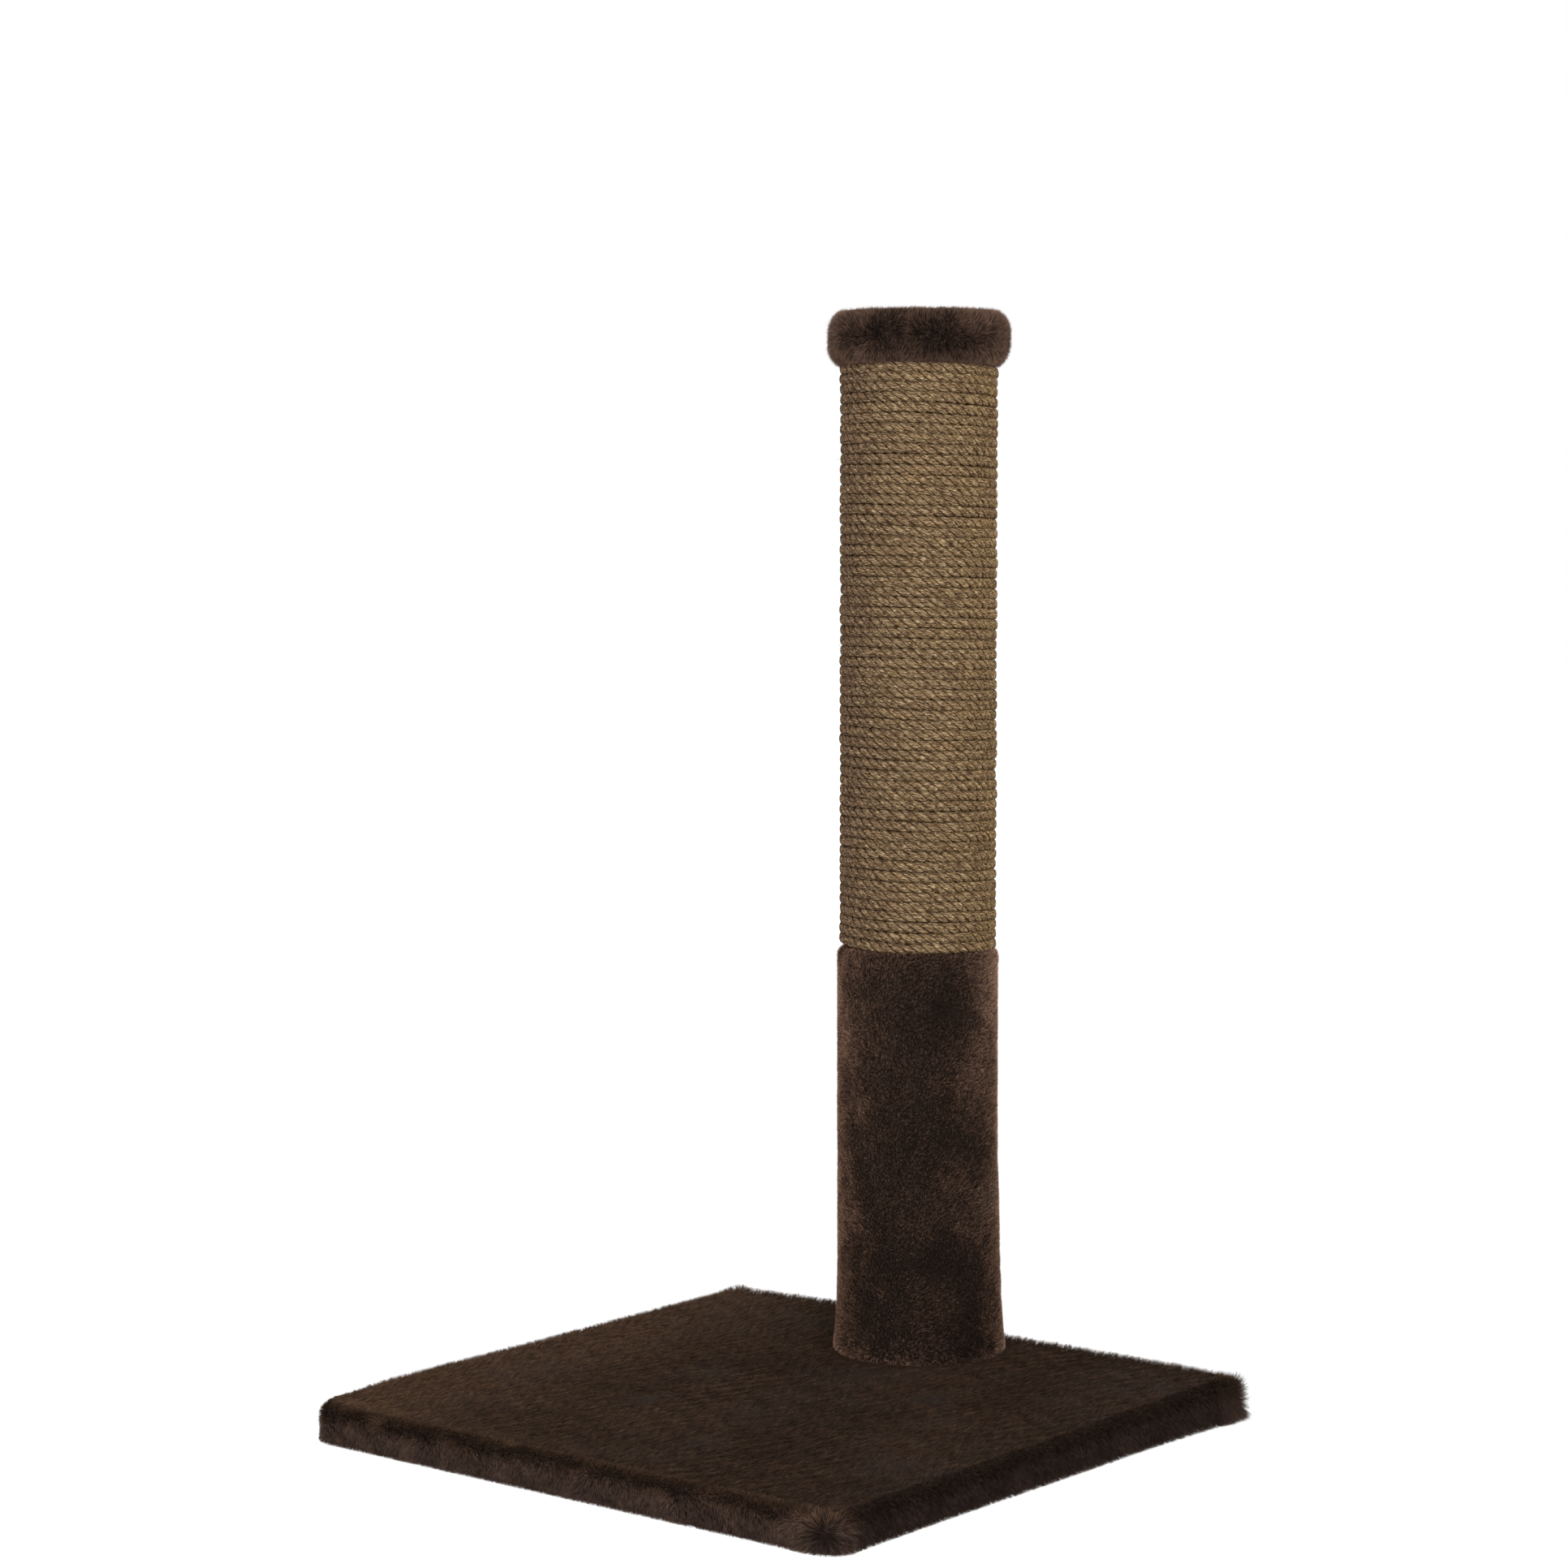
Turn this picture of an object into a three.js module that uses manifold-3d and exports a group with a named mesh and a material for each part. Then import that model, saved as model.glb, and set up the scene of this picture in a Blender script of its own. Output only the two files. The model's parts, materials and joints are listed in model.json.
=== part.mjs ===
// A cat scratching post: a square plush-covered base, a round cardboard post near the middle of
// one side, a plush sleeve round its foot, sisal rope wound round the rest, and a plush cap.
// Millimetres, +Z up. The origin is the centre of the base's underside; the post stands towards +Y.

import * as THREE from 'three';
import { mergeVertices } from 'three/addons/utils/BufferGeometryUtils.js';
import Module from 'manifold-3d';

// ---- Driving dimensions ----

// fits
const fitGap = 0.3;             // between pieces that touch
const seamGap = 0.8;            // between the two edges of the sleeve, at its closing seam

// base board and its cover
const boardSide = 600;
const boardThickness = 22;
const boardCornerRadius = 14;
const coverSidePile = 10;       // plush on the board's edges
const coverTopPile = 11.4;      // plush on the board's top
const coverEdgeRadius = 9;      // rounding of the plush along the top edge
const crushedPile = 2;          // plush squeezed under the board and under the post
const marginWidth = 45;         // how far the cover is folded in under the board

// post core
const tubeDiameter = 130;
const tubeWall = 6;
const tubeLength = 1000;
const tubeInset = 16;           // from the board's edge to the tube
const plugThickness = 18;

// plush sleeve
const sleeveHeight = 398;
const sleevePile = 12;
const sleeveShoulderRadius = 8;
const sleeveFootFlare = 4;      // how much fuller the pile is where it lies on the base
const sleeveFootHeight = 46;

// sisal rope
const ropeDiameter = 9.3;       // a 10 mm rope, pressed a little flat by the next turn
const ropeNailInset = 9;        // from the rope's cut end to its nail

// cap
const capBoardDiameter = 150;
const capBoardThickness = 12;
const capBoardEdgeRadius = 2;
const capSidePile = 12;
const capTopPile = 5.5;
const capTopRadius = 17;
const capSkirtDrop = 33;        // from the cap board down to the lip of the cover
const capLipRadius = 13;

// fasteners
const bolt = { radius: 5, length: 40, headAcrossFlats: 17, headHeight: 6.4 };
const boltHoleClearance = 0.5;
const washer = { radius: 15, thickness: 2.5 };
const headRecessClearance = 2;  // round the washer and below the head, for a socket wrench
const teeNut = {
  barrelRadius: 6.2,
  barrelLength: 12,
  flangeRadius: 14,
  flangeThickness: 1.8,
  prongCircleRadius: 11,
  prongWidth: 2.4,
  prongThickness: 1.2,
  prongLength: 6,
};
const teeNutProngs = 4;
const screw = {
  length: 25,
  shankRadius: 2,
  headRadius: 4,
  headHeight: 2.6,
  headRim: 0.4,
  pointLength: 4,
};
const screwSink = 0.6;          // how deep a screw's head lies below the surface
const plugScrewCount = 4;
const capScrewCount = 3;
const capScrewCircleRadius = 38;
const nail = { length: 15, shankRadius: 1.4, headRadius: 3.5, headThickness: 1 };

// facets of round work
const roundFacets = 36;
const fastenerFacets = 8;
const cornerFacets = 4;
const profileFacets = 3;
const ropeFacetsPerTurn = 14;
const ropeSectionSides = 5;

// ---- Places that follow from them ----

const boardBottom = crushedPile + fitGap;
const boardTop = boardBottom + boardThickness;
const coverInnerTop = boardTop + fitGap;
const coverTop = coverInnerTop + coverTopPile;
const coverSide = boardSide + 2 * (fitGap + coverSidePile);

const tubeRadius = tubeDiameter / 2;
const tubeBottom = coverInnerTop + crushedPile + fitGap;
const tubeTop = tubeBottom + tubeLength;
const postOffset = boardSide / 2 - tubeInset - tubeRadius;
const plugRadius = tubeRadius - tubeWall - fitGap;
const onTubeRadius = tubeRadius + fitGap;

const sleeveBottom = coverTop + fitGap;
const sleeveTop = sleeveBottom + sleeveHeight;
const capBoardBottom = tubeTop + fitGap;
const capBoardTop = capBoardBottom + capBoardThickness;
const capLip = capBoardBottom - capSkirtDrop;

const ropeSectionRadius = ropeDiameter / 2 / Math.sin((2 * Math.PI) / ropeSectionSides);
const ropeFlatDepth = ropeSectionRadius * Math.cos(Math.PI / ropeSectionSides);
const ropeInnerRadius = onTubeRadius / Math.cos(Math.PI / ropeFacetsPerTurn);
const ropeRadius = ropeInnerRadius + ropeFlatDepth;
const ropeBottom = sleeveTop + fitGap + ropeDiameter / 2;
const ropeTop = capLip - fitGap - ropeDiameter / 2;
const ropeTurns = Math.floor((ropeTop - ropeBottom) / (ropeDiameter + fitGap));
const ropePitch = (ropeTop - ropeBottom) / ropeTurns;
const ropeEndAngle = Math.PI / 2;   // both ends lie at the back of the post

const washerBottom = boardBottom + headRecessClearance + bolt.headHeight + fitGap;
const washerTop = washerBottom + washer.thickness;
const teeNutSeat = tubeBottom + plugThickness;

// ---- Materials ----

function matt(color, roughness, metalness = 0) {
  return new THREE.MeshStandardMaterial({ color, roughness, metalness });
}

const plush = matt(0x3c2e26, 1);
const sisal = matt(0x86704f, 0.95);
const particleBoard = matt(0xb08d62, 0.85);
const cardboard = matt(0xa98d6c, 0.9);
const zinc = matt(0xb9bcc0, 0.4, 0.9);

// ---- Solids ----

const wasm = await Module();
wasm.setup();

// Joins the vertices that coincide and leaves out the triangles that close up to a line at an axis.
function toSolid(geometry) {
  const bare = geometry.clone();
  bare.deleteAttribute('normal');
  bare.deleteAttribute('uv');
  const merged = mergeVertices(bare, 1e-4);
  const corners = merged.index.array;
  const kept = [];
  for (let i = 0; i < corners.length; i += 3) {
    const [a, b, c] = corners.slice(i, i + 3);
    if (a !== b && b !== c && c !== a) {
      kept.push(a, b, c);
    }
  }
  const vertProperties = new Float32Array(merged.attributes.position.array);
  const triVerts = new Uint32Array(kept);
  return new wasm.Manifold(new wasm.Mesh({ numProp: 3, vertProperties, triVerts }));
}

function toGeometry(solid) {
  const mesh = solid.getMesh();
  const geometry = new THREE.BufferGeometry();
  geometry.setAttribute('position', new THREE.BufferAttribute(mesh.vertProperties, 3));
  geometry.setIndex(new THREE.BufferAttribute(mesh.triVerts, 1));
  geometry.computeVertexNormals();
  return geometry;
}

function cut(geometry, tools) {
  return toGeometry(tools.reduce((solid, tool) => solid.subtract(toSolid(tool)), toSolid(geometry)));
}

function join(geometries) {
  return toGeometry(geometries.map(toSolid).reduce((solid, next) => solid.add(next)));
}

// A profile of [radius, height] points or a path, turned about Z.
function turned(points, facets) {
  const profile = points.map((point) => (point.isVector2 ? point : new THREE.Vector2(...point)));
  return new THREE.LatheGeometry(profile, facets).rotateX(Math.PI / 2);
}

function rod(radius, bottom, top, facets = roundFacets) {
  const geometry = new THREE.CylinderGeometry(radius, radius, top - bottom, facets);
  return geometry.rotateX(Math.PI / 2).translate(0, 0, (bottom + top) / 2);
}

function ring(inner, outer, bottom, top, facets) {
  return turned([[inner, bottom], [outer, bottom], [outer, top], [inner, top], [inner, bottom]], facets);
}

function block(width, depth, bottom, top) {
  return new THREE.BoxGeometry(width, depth, top - bottom).translate(0, 0, (bottom + top) / 2);
}

function roundedSquare(side, radius) {
  const reach = side / 2 - radius;
  const shape = new THREE.Shape();
  shape.absarc(reach, reach, radius, 0, Math.PI / 2);
  shape.absarc(-reach, reach, radius, Math.PI / 2, Math.PI);
  shape.absarc(-reach, -reach, radius, Math.PI, 1.5 * Math.PI);
  shape.absarc(reach, -reach, radius, 1.5 * Math.PI, 2 * Math.PI);
  return shape;
}

// A square plate with round corners; edgeRadius rounds its top and bottom edges too.
function plate(side, cornerRadius, bottom, top, edgeRadius = 0) {
  const options = { depth: top - bottom - 2 * edgeRadius, curveSegments: cornerFacets, bevelEnabled: false };
  if (edgeRadius > 0) {
    options.bevelEnabled = true;
    options.bevelSize = edgeRadius;
    options.bevelThickness = edgeRadius;
    options.bevelOffset = -edgeRadius;
    options.bevelSegments = cornerFacets;
  }
  const geometry = new THREE.ExtrudeGeometry(roundedSquare(side, cornerRadius), options);
  return geometry.translate(0, 0, bottom + edgeRadius);
}

// ---- Base ----

function baseBoard() {
  const plank = plate(boardSide, boardCornerRadius, boardBottom, boardTop);
  const boltHole = rod(bolt.radius + boltHoleClearance, 0, coverTop, fastenerFacets);
  const recess = rod(washer.radius + headRecessClearance, 0, washerTop + fitGap, roundFacets);
  return cut(plank, [boltHole.translate(0, postOffset, 0), recess.translate(0, postOffset, 0)]);
}

// The cover wraps the board's top and sides and is folded in under it; the post presses it down.
function basePlushCover() {
  const fold = boardSide - 2 * marginWidth;
  const cornerRadius = boardCornerRadius + coverSidePile;
  const skin = plate(coverSide, cornerRadius, -coverEdgeRadius, coverTop, coverEdgeRadius);
  const below = block(2 * coverSide, 2 * coverSide, -2 * coverEdgeRadius, 0);
  const inside = plate(boardSide + 2 * fitGap, boardCornerRadius + fitGap, crushedPile, coverInnerTop);
  const opening = plate(fold, boardCornerRadius, -crushedPile, boardBottom);
  const footprint = rod(onTubeRadius, coverInnerTop + crushedPile, coverTop + fitGap);
  const boltHole = rod(bolt.radius + boltHoleClearance, boardBottom, coverTop, fastenerFacets);
  footprint.translate(0, postOffset, 0);
  boltHole.translate(0, postOffset, 0);
  return cut(skin, [below, inside, opening, footprint, boltHole]);
}

// ---- Fasteners, each along its own Z axis ----

// A countersunk wood screw, point down, the top of its head at zero. With a gap it is the hole that
// the screw sits in, open as far as the mouth.
function woodScrew(gap = 0, mouth = 0) {
  const shank = screw.shankRadius + gap;
  const head = screw.headRadius + gap;
  const end = -screw.length - gap;
  return turned([
    [0, end],
    [shank, end + screw.pointLength],
    [shank, -screw.headHeight - gap],
    [head, -screw.headRim - gap],
    [head, mouth],
    [0, mouth],
  ], fastenerFacets);
}

function screwHole() {
  return woodScrew(fitGap, screwSink + fitGap);
}

// A clout nail, point down, the underside of its head at zero.
function cloutNail() {
  return join([
    rod(nail.shankRadius, -nail.length, nail.headThickness / 2, fastenerFacets),
    rod(nail.headRadius, 0, nail.headThickness, fastenerFacets),
  ]);
}

function nailHole() {
  return rod(nail.shankRadius + fitGap, -nail.length - fitGap, 2 * nail.headThickness, fastenerFacets);
}

function hexBolt() {
  const headRadius = bolt.headAcrossFlats / 2 / Math.cos(Math.PI / 6);
  const headTop = washerBottom - fitGap;
  const head = rod(headRadius, headTop - bolt.headHeight, headTop, 6);
  return join([head, rod(bolt.radius, headTop - bolt.headHeight / 2, headTop + bolt.length, fastenerFacets)]);
}

function prongs(gap = 0) {
  const pieces = [];
  for (let i = 0; i < teeNutProngs; i += 1) {
    const prong = block(
      teeNut.prongThickness + 2 * gap,
      teeNut.prongWidth + 2 * gap,
      teeNutSeat - teeNut.prongLength - gap,
      teeNutSeat + fitGap + teeNut.flangeThickness / 2,
    );
    prong.translate(teeNut.prongCircleRadius, 0, 0);
    pieces.push(prong.rotateZ((i * 2 * Math.PI) / teeNutProngs));
  }
  return pieces;
}

function boltWasher() {
  return ring(bolt.radius + fitGap, washer.radius, washerBottom, washerTop, 2 * fastenerFacets);
}

function teeNutBody() {
  const flangeBottom = teeNutSeat + fitGap;
  const flangeTop = flangeBottom + teeNut.flangeThickness;
  const flange = rod(teeNut.flangeRadius, flangeBottom, flangeTop, 2 * fastenerFacets);
  const barrel = rod(teeNut.barrelRadius, teeNutSeat - teeNut.barrelLength, flangeTop, fastenerFacets);
  const bore = rod(bolt.radius + fitGap, tubeBottom, flangeTop + fitGap, fastenerFacets);
  return cut(join([flange, barrel, ...prongs()]), [bore]);
}

// ---- Post core ----

// Turns a piece that points down -Z so that it points at the post's axis, from a place at the angle.
function aimAtAxis(geometry, radius, angle, height) {
  geometry.rotateY(Math.PI / 2);
  geometry.translate(radius, 0, 0);
  geometry.rotateZ(angle);
  return geometry.translate(0, 0, height);
}

const rimScrewRadius = tubeRadius * Math.cos(Math.PI / roundFacets) - screwSink;
const lowerScrewHeight = tubeBottom + plugThickness / 2;
const upperScrewHeight = tubeTop - plugThickness / 2;
const ropeNailRadius = ropeRadius + ropeSectionRadius + fitGap;
const ropeNailAngle = ropeNailInset / ropeRadius;

function rimScrewAngle(i) {
  return ((i + 0.5) * 2 * Math.PI) / plugScrewCount;
}

function rimScrewHoles(height) {
  const holes = [];
  for (let i = 0; i < plugScrewCount; i += 1) {
    holes.push(aimAtAxis(screwHole(), rimScrewRadius, rimScrewAngle(i), height));
  }
  return holes;
}

// The rope starts at its lower end and turns clockwise, seen from above, as it climbs.
function ropeNailPlaces() {
  const climb = (ropePitch * ropeNailAngle) / (2 * Math.PI);
  return [
    { name: 'rope_nail_lower', angle: ropeEndAngle - ropeNailAngle, height: ropeBottom + climb },
    { name: 'rope_nail_upper', angle: ropeEndAngle + ropeNailAngle, height: ropeTop - climb },
  ];
}

function ropeNailHoles() {
  return ropeNailPlaces().map((place) => aimAtAxis(nailHole(), ropeNailRadius, place.angle, place.height));
}

function postTube() {
  const tube = ring(tubeRadius - tubeWall, tubeRadius, tubeBottom, tubeTop, roundFacets);
  return cut(tube, [
    ...rimScrewHoles(lowerScrewHeight),
    ...rimScrewHoles(upperScrewHeight),
    ...ropeNailHoles(),
  ]);
}

function lowerPlug() {
  const barrelHole = rod(teeNut.barrelRadius + fitGap, 0, tubeTop, fastenerFacets);
  const disc = rod(plugRadius, tubeBottom, teeNutSeat);
  return cut(disc, [barrelHole, ...prongs(fitGap), ...rimScrewHoles(lowerScrewHeight)]);
}

function capScrewPlace(i) {
  const angle = (i * 2 * Math.PI) / capScrewCount;
  return new THREE.Vector3(
    capScrewCircleRadius * Math.cos(angle),
    capScrewCircleRadius * Math.sin(angle),
    capBoardTop - screwSink,
  );
}

function capScrewHoles() {
  const holes = [];
  for (let i = 0; i < capScrewCount; i += 1) {
    holes.push(screwHole().translate(...capScrewPlace(i).toArray()));
  }
  return holes;
}

function upperPlug() {
  const disc = rod(plugRadius, tubeTop - plugThickness, tubeTop);
  return cut(disc, [...capScrewHoles(), ...rimScrewHoles(upperScrewHeight)]);
}

// ---- Plush sleeve ----

// The sleeve is one strip of plush, wrapped round the tube and closed by a seam at the back.
function postPlushSleeve() {
  const side = onTubeRadius + sleevePile;
  const foot = side + sleeveFootFlare;
  const profile = new THREE.Path();
  profile.moveTo(onTubeRadius, sleeveBottom);
  profile.lineTo(foot - sleeveFootFlare / 2, sleeveBottom);
  profile.quadraticCurveTo(foot, sleeveBottom, foot, sleeveBottom + sleeveFootFlare);
  profile.bezierCurveTo(
    foot, sleeveBottom + sleeveFootHeight / 2,
    side + sleeveFootFlare / 4, sleeveBottom + sleeveFootHeight / 2,
    side + sleeveFootFlare / 4, sleeveBottom + sleeveFootHeight,
  );
  profile.lineTo(side, sleeveTop - sleeveShoulderRadius);
  profile.absarc(side - sleeveShoulderRadius, sleeveTop - sleeveShoulderRadius, sleeveShoulderRadius,
    0, Math.PI / 2);
  profile.lineTo(onTubeRadius, sleeveTop);
  profile.closePath();
  const seam = block(seamGap, 2 * sleevePile, sleeveBottom - fitGap, sleeveTop + fitGap);
  const strip = turned(profile.getPoints(profileFacets), roundFacets);
  return cut(strip, [seam.translate(0, side, 0)]);
}

// ---- Sisal rope ----

// The line along the middle of the wound rope, with the rope's section kept upright all the way.
class Winding extends THREE.Curve {
  getAngle(t) {
    return ropeEndAngle - 2 * Math.PI * ropeTurns * t;
  }

  getPoint(t, target = new THREE.Vector3()) {
    const angle = this.getAngle(t);
    const height = THREE.MathUtils.lerp(ropeBottom, ropeTop, t);
    return target.set(ropeRadius * Math.cos(angle), ropeRadius * Math.sin(angle), height);
  }

  computeFrenetFrames(steps) {
    const frames = { tangents: [], normals: [], binormals: [] };
    const climb = ropePitch / (2 * Math.PI);
    for (let i = 0; i <= steps; i += 1) {
      const angle = this.getAngle(i / steps);
      const outward = new THREE.Vector3(Math.cos(angle), Math.sin(angle), 0);
      const onward = new THREE.Vector3(ropeRadius * Math.sin(angle), -ropeRadius * Math.cos(angle), climb);
      onward.normalize();
      frames.tangents.push(onward);
      frames.normals.push(outward);
      frames.binormals.push(new THREE.Vector3().crossVectors(onward, outward));
    }
    return frames;
  }
}

// The section has a flat side, which lies against the tube, and a point that faces outwards.
function sisalRope() {
  const corners = [];
  for (let i = 0; i < ropeSectionSides; i += 1) {
    const angle = (i * 2 * Math.PI) / ropeSectionSides;
    corners.push(new THREE.Vector2(ropeSectionRadius * Math.cos(angle), ropeSectionRadius * Math.sin(angle)));
  }
  const rope = new THREE.ExtrudeGeometry(new THREE.Shape(corners), {
    steps: ropeTurns * ropeFacetsPerTurn,
    extrudePath: new Winding(),
    bevelEnabled: false,
  });
  return cut(rope, ropeNailHoles());
}

// ---- Cap ----

function capBoard() {
  const radius = capBoardDiameter / 2;
  const disc = turned([
    [0, capBoardBottom],
    [radius, capBoardBottom],
    [radius, capBoardTop - capBoardEdgeRadius],
    [radius - capBoardEdgeRadius, capBoardTop],
    [0, capBoardTop],
  ], roundFacets);
  return cut(disc, capScrewHoles());
}

// The cover lies over the cap board and is drawn in under it, round the head of the tube.
function capPlushCover() {
  const pocket = capBoardDiameter / 2 + fitGap;
  const side = pocket + capSidePile;
  const roof = capBoardTop + fitGap;
  const top = roof + capTopPile;
  const profile = new THREE.Path();
  profile.moveTo(0, roof);
  profile.lineTo(pocket, roof);
  profile.lineTo(pocket, capBoardBottom - fitGap);
  profile.lineTo(onTubeRadius, capBoardBottom - fitGap);
  profile.lineTo(onTubeRadius, capLip);
  profile.absarc(side - capLipRadius, capLip + capLipRadius, capLipRadius, -Math.PI / 2, 0);
  profile.absarc(side - capTopRadius, top - capTopRadius, capTopRadius, 0, Math.PI / 2);
  profile.lineTo(0, top);
  return turned(profile.getPoints(profileFacets), roundFacets);
}

// ---- Assembly ----

function addPiece(parent, name, geometry, material) {
  const piece = new THREE.Mesh(geometry, material);
  piece.name = name;
  parent.add(piece);
  return piece;
}

const group = new THREE.Group();

const base = new THREE.Group();
group.add(base);
addPiece(base, 'base_board', baseBoard(), particleBoard);
addPiece(base, 'base_plush_cover', basePlushCover(), plush);

const post = new THREE.Group();
post.position.set(0, postOffset, 0);
group.add(post);
addPiece(post, 'post_bolt', hexBolt(), zinc);
addPiece(post, 'bolt_washer', boltWasher(), zinc);
addPiece(post, 'tee_nut', teeNutBody(), zinc);
addPiece(post, 'lower_plug', lowerPlug(), particleBoard);
addPiece(post, 'upper_plug', upperPlug(), particleBoard);
addPiece(post, 'post_tube', postTube(), cardboard);
addPiece(post, 'post_plush_sleeve', postPlushSleeve(), plush);
addPiece(post, 'sisal_rope', sisalRope(), sisal);
addPiece(post, 'cap_board', capBoard(), particleBoard);
addPiece(post, 'cap_plush_cover', capPlushCover(), plush);

for (let i = 0; i < plugScrewCount; i += 1) {
  const angle = rimScrewAngle(i);
  const lower = aimAtAxis(woodScrew(), rimScrewRadius, angle, lowerScrewHeight);
  const upper = aimAtAxis(woodScrew(), rimScrewRadius, angle, upperScrewHeight);
  addPiece(post, `lower_plug_screw_${i + 1}`, lower, zinc);
  addPiece(post, `upper_plug_screw_${i + 1}`, upper, zinc);
}

for (let i = 0; i < capScrewCount; i += 1) {
  addPiece(post, `cap_screw_${i + 1}`, woodScrew(), zinc).position.copy(capScrewPlace(i));
}

for (const place of ropeNailPlaces()) {
  const piece = aimAtAxis(cloutNail(), ropeNailRadius, place.angle, place.height);
  addPiece(post, place.name, piece, zinc);
}

export default group;
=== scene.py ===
"""Looks of a cat scratching post: plush base, plush sleeve, wound sisal rope and plush cap.

Metres, in the part's own frame: origin under the middle of the base, +Z up, post towards +Y.
"""
import json
import math

import bpy
import numpy as np
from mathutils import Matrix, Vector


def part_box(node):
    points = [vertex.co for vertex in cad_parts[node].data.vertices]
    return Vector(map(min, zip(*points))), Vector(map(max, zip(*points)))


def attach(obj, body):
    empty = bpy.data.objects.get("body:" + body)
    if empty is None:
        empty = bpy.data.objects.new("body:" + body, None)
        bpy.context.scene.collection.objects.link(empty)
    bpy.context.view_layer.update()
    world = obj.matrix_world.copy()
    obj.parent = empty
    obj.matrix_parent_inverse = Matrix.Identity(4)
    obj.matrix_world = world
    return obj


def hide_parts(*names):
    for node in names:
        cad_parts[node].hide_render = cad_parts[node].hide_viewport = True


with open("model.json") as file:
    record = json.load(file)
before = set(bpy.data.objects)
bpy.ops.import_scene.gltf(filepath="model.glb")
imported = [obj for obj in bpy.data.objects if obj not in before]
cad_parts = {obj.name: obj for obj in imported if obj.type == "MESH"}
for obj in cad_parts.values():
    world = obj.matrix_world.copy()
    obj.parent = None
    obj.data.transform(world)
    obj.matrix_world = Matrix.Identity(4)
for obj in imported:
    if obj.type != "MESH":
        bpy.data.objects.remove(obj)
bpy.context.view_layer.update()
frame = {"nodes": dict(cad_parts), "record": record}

MM = 0.001

# ---- sizes, from the frame

_, cover_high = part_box("base_plush_cover")
board_low, board_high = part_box("base_board")
tube_low, tube_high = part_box("post_tube")
sleeve_low, sleeve_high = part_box("post_plush_sleeve")
rope_low, rope_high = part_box("sisal_rope")
cap_low, cap_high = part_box("cap_plush_cover")

POST_Y = (tube_low.y + tube_high.y) / 2
TUBE_RADIUS = (tube_high.x - tube_low.x) / 2
COVER_HALF = cover_high.x
DECK_TOP = cover_high.z
BOARD_HALF = board_high.x
SLEEVE_FLARE = 4 * MM
SLEEVE_RADIUS = sleeve_high.x - SLEEVE_FLARE

# the cloth that the pile grows on, under the pile's mean surface
DECK_CLOTH = DECK_TOP - 2.6 * MM
SIDE_CLOTH = COVER_HALF - 2.6 * MM
CLOTH_SHIFT = 2.5 * MM        # the cover is pulled a little towards +X
CORNER_RADII = np.array([12, 18, 36, 20]) * MM      # at +X+Y, -X+Y, -X-Y and +X-Y
SWELL = 0.08                  # how much thicker the padding is towards +Y
FOLD_RADII = np.full(4, 14 * MM)
EDGE_RADIUS = 10 * MM
HEM_RADIUS = 2 * MM
FLOOR_GAP = 0.4 * MM
FOLD_INNER_HALF = BOARD_HALF - 45 * MM
SLEEVE_CLOTH = SLEEVE_RADIUS - 2.0 * MM
CAP_CLOTH = cap_high.x - 7 * MM
CAP_TOP_CLOTH = cap_high.z - 4 * MM
CAP_LIP = cap_low.z + 3.5 * MM

ROPE_TURNS = 58               # its two ends are hidden in the plush
ROPE_PITCH = (rope_high.z - rope_low.z) / ROPE_TURNS
ROPE_LAY = 31 * MM            # length in which a strand of the rope goes round once
ROPE_STRAND_RADIUS = 3.6 * MM
ROPE_STRAND_OFFSET = 1.8 * MM
SNUG = 0.2 * MM               # between a soft piece and the hard one inside it
ROPE_RADIUS = TUBE_RADIUS + SNUG + ROPE_STRAND_RADIUS + ROPE_STRAND_OFFSET

# how many hairs and fibres each stretch has
DECK_HAIRS = 260000
RIM_HAIRS = 156000
RIM_FRONT_HAIRS = 16000       # more along the front edge
RIM_CORNER_HAIRS = 9000       # and round the corner at +X+Y
SLEEVE_HAIRS = 520000
CAP_HAIRS = 75000
ROPE_FIBRES = 36000
LOOSE_FIBRES = 700

# ---- camera, fitted to the photograph

PHOTO_SIZE = 1932
FOCAL_PIXELS = 4219
CAMERA_AZIMUTH = math.radians(38.98)
CAMERA_PITCH = math.radians(3.358)
CAMERA_PLACE = (1.988, -2.4447, 0.7845)


def make_camera():
    data = bpy.data.cameras.new("camera")
    data.sensor_width = 36
    data.lens = FOCAL_PIXELS / PHOTO_SIZE * data.sensor_width
    data.clip_end = 100
    camera = bpy.data.objects.new("camera", data)
    camera.location = CAMERA_PLACE
    camera.rotation_euler = (math.pi / 2 - CAMERA_PITCH, 0, CAMERA_AZIMUTH)
    bpy.context.scene.collection.objects.link(camera)
    bpy.context.scene.camera = camera


# ---- helpers

rng = np.random.default_rng(20)
UP = np.array([0.0, 0.0, 1.0])
LAY = np.array([0.30, 0.954, 0.0])          # the way the pile of the base lies, mostly towards +Y
ASIDE = np.array([0.777, 0.629])            # the way the sleeve's foot is pushed
ASIDE_HEIGHTS = (0.04, 0.30)                # fully up to the first height, no more from the second


def srgb(red, green, blue):
    def linear(c):
        c /= 255
        return c / 12.92 if c <= 0.04045 else ((c + 0.055) / 1.055) ** 2.4
    return (linear(red), linear(green), linear(blue), 1.0)


def unit(v):
    return v / np.maximum(np.linalg.norm(v, axis=-1, keepdims=True), 1e-12)


def wander(points, size, seed):
    """A smooth random value round 0, mostly from -2 to 2, that changes over lengths of about size."""
    waves = 10
    local = np.random.default_rng(seed)
    directions = unit(local.normal(size=(waves, points.shape[-1])))
    pitch = size * local.uniform(0.6, 1.6, waves)
    phase = local.uniform(0, 2 * math.pi, waves)
    value = np.zeros(points.shape[:-1])
    for direction, length, start in zip(directions, pitch, phase):
        value += np.sin(points @ direction * 2 * math.pi / length + start)
    return value / math.sqrt(waves / 2)


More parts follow.
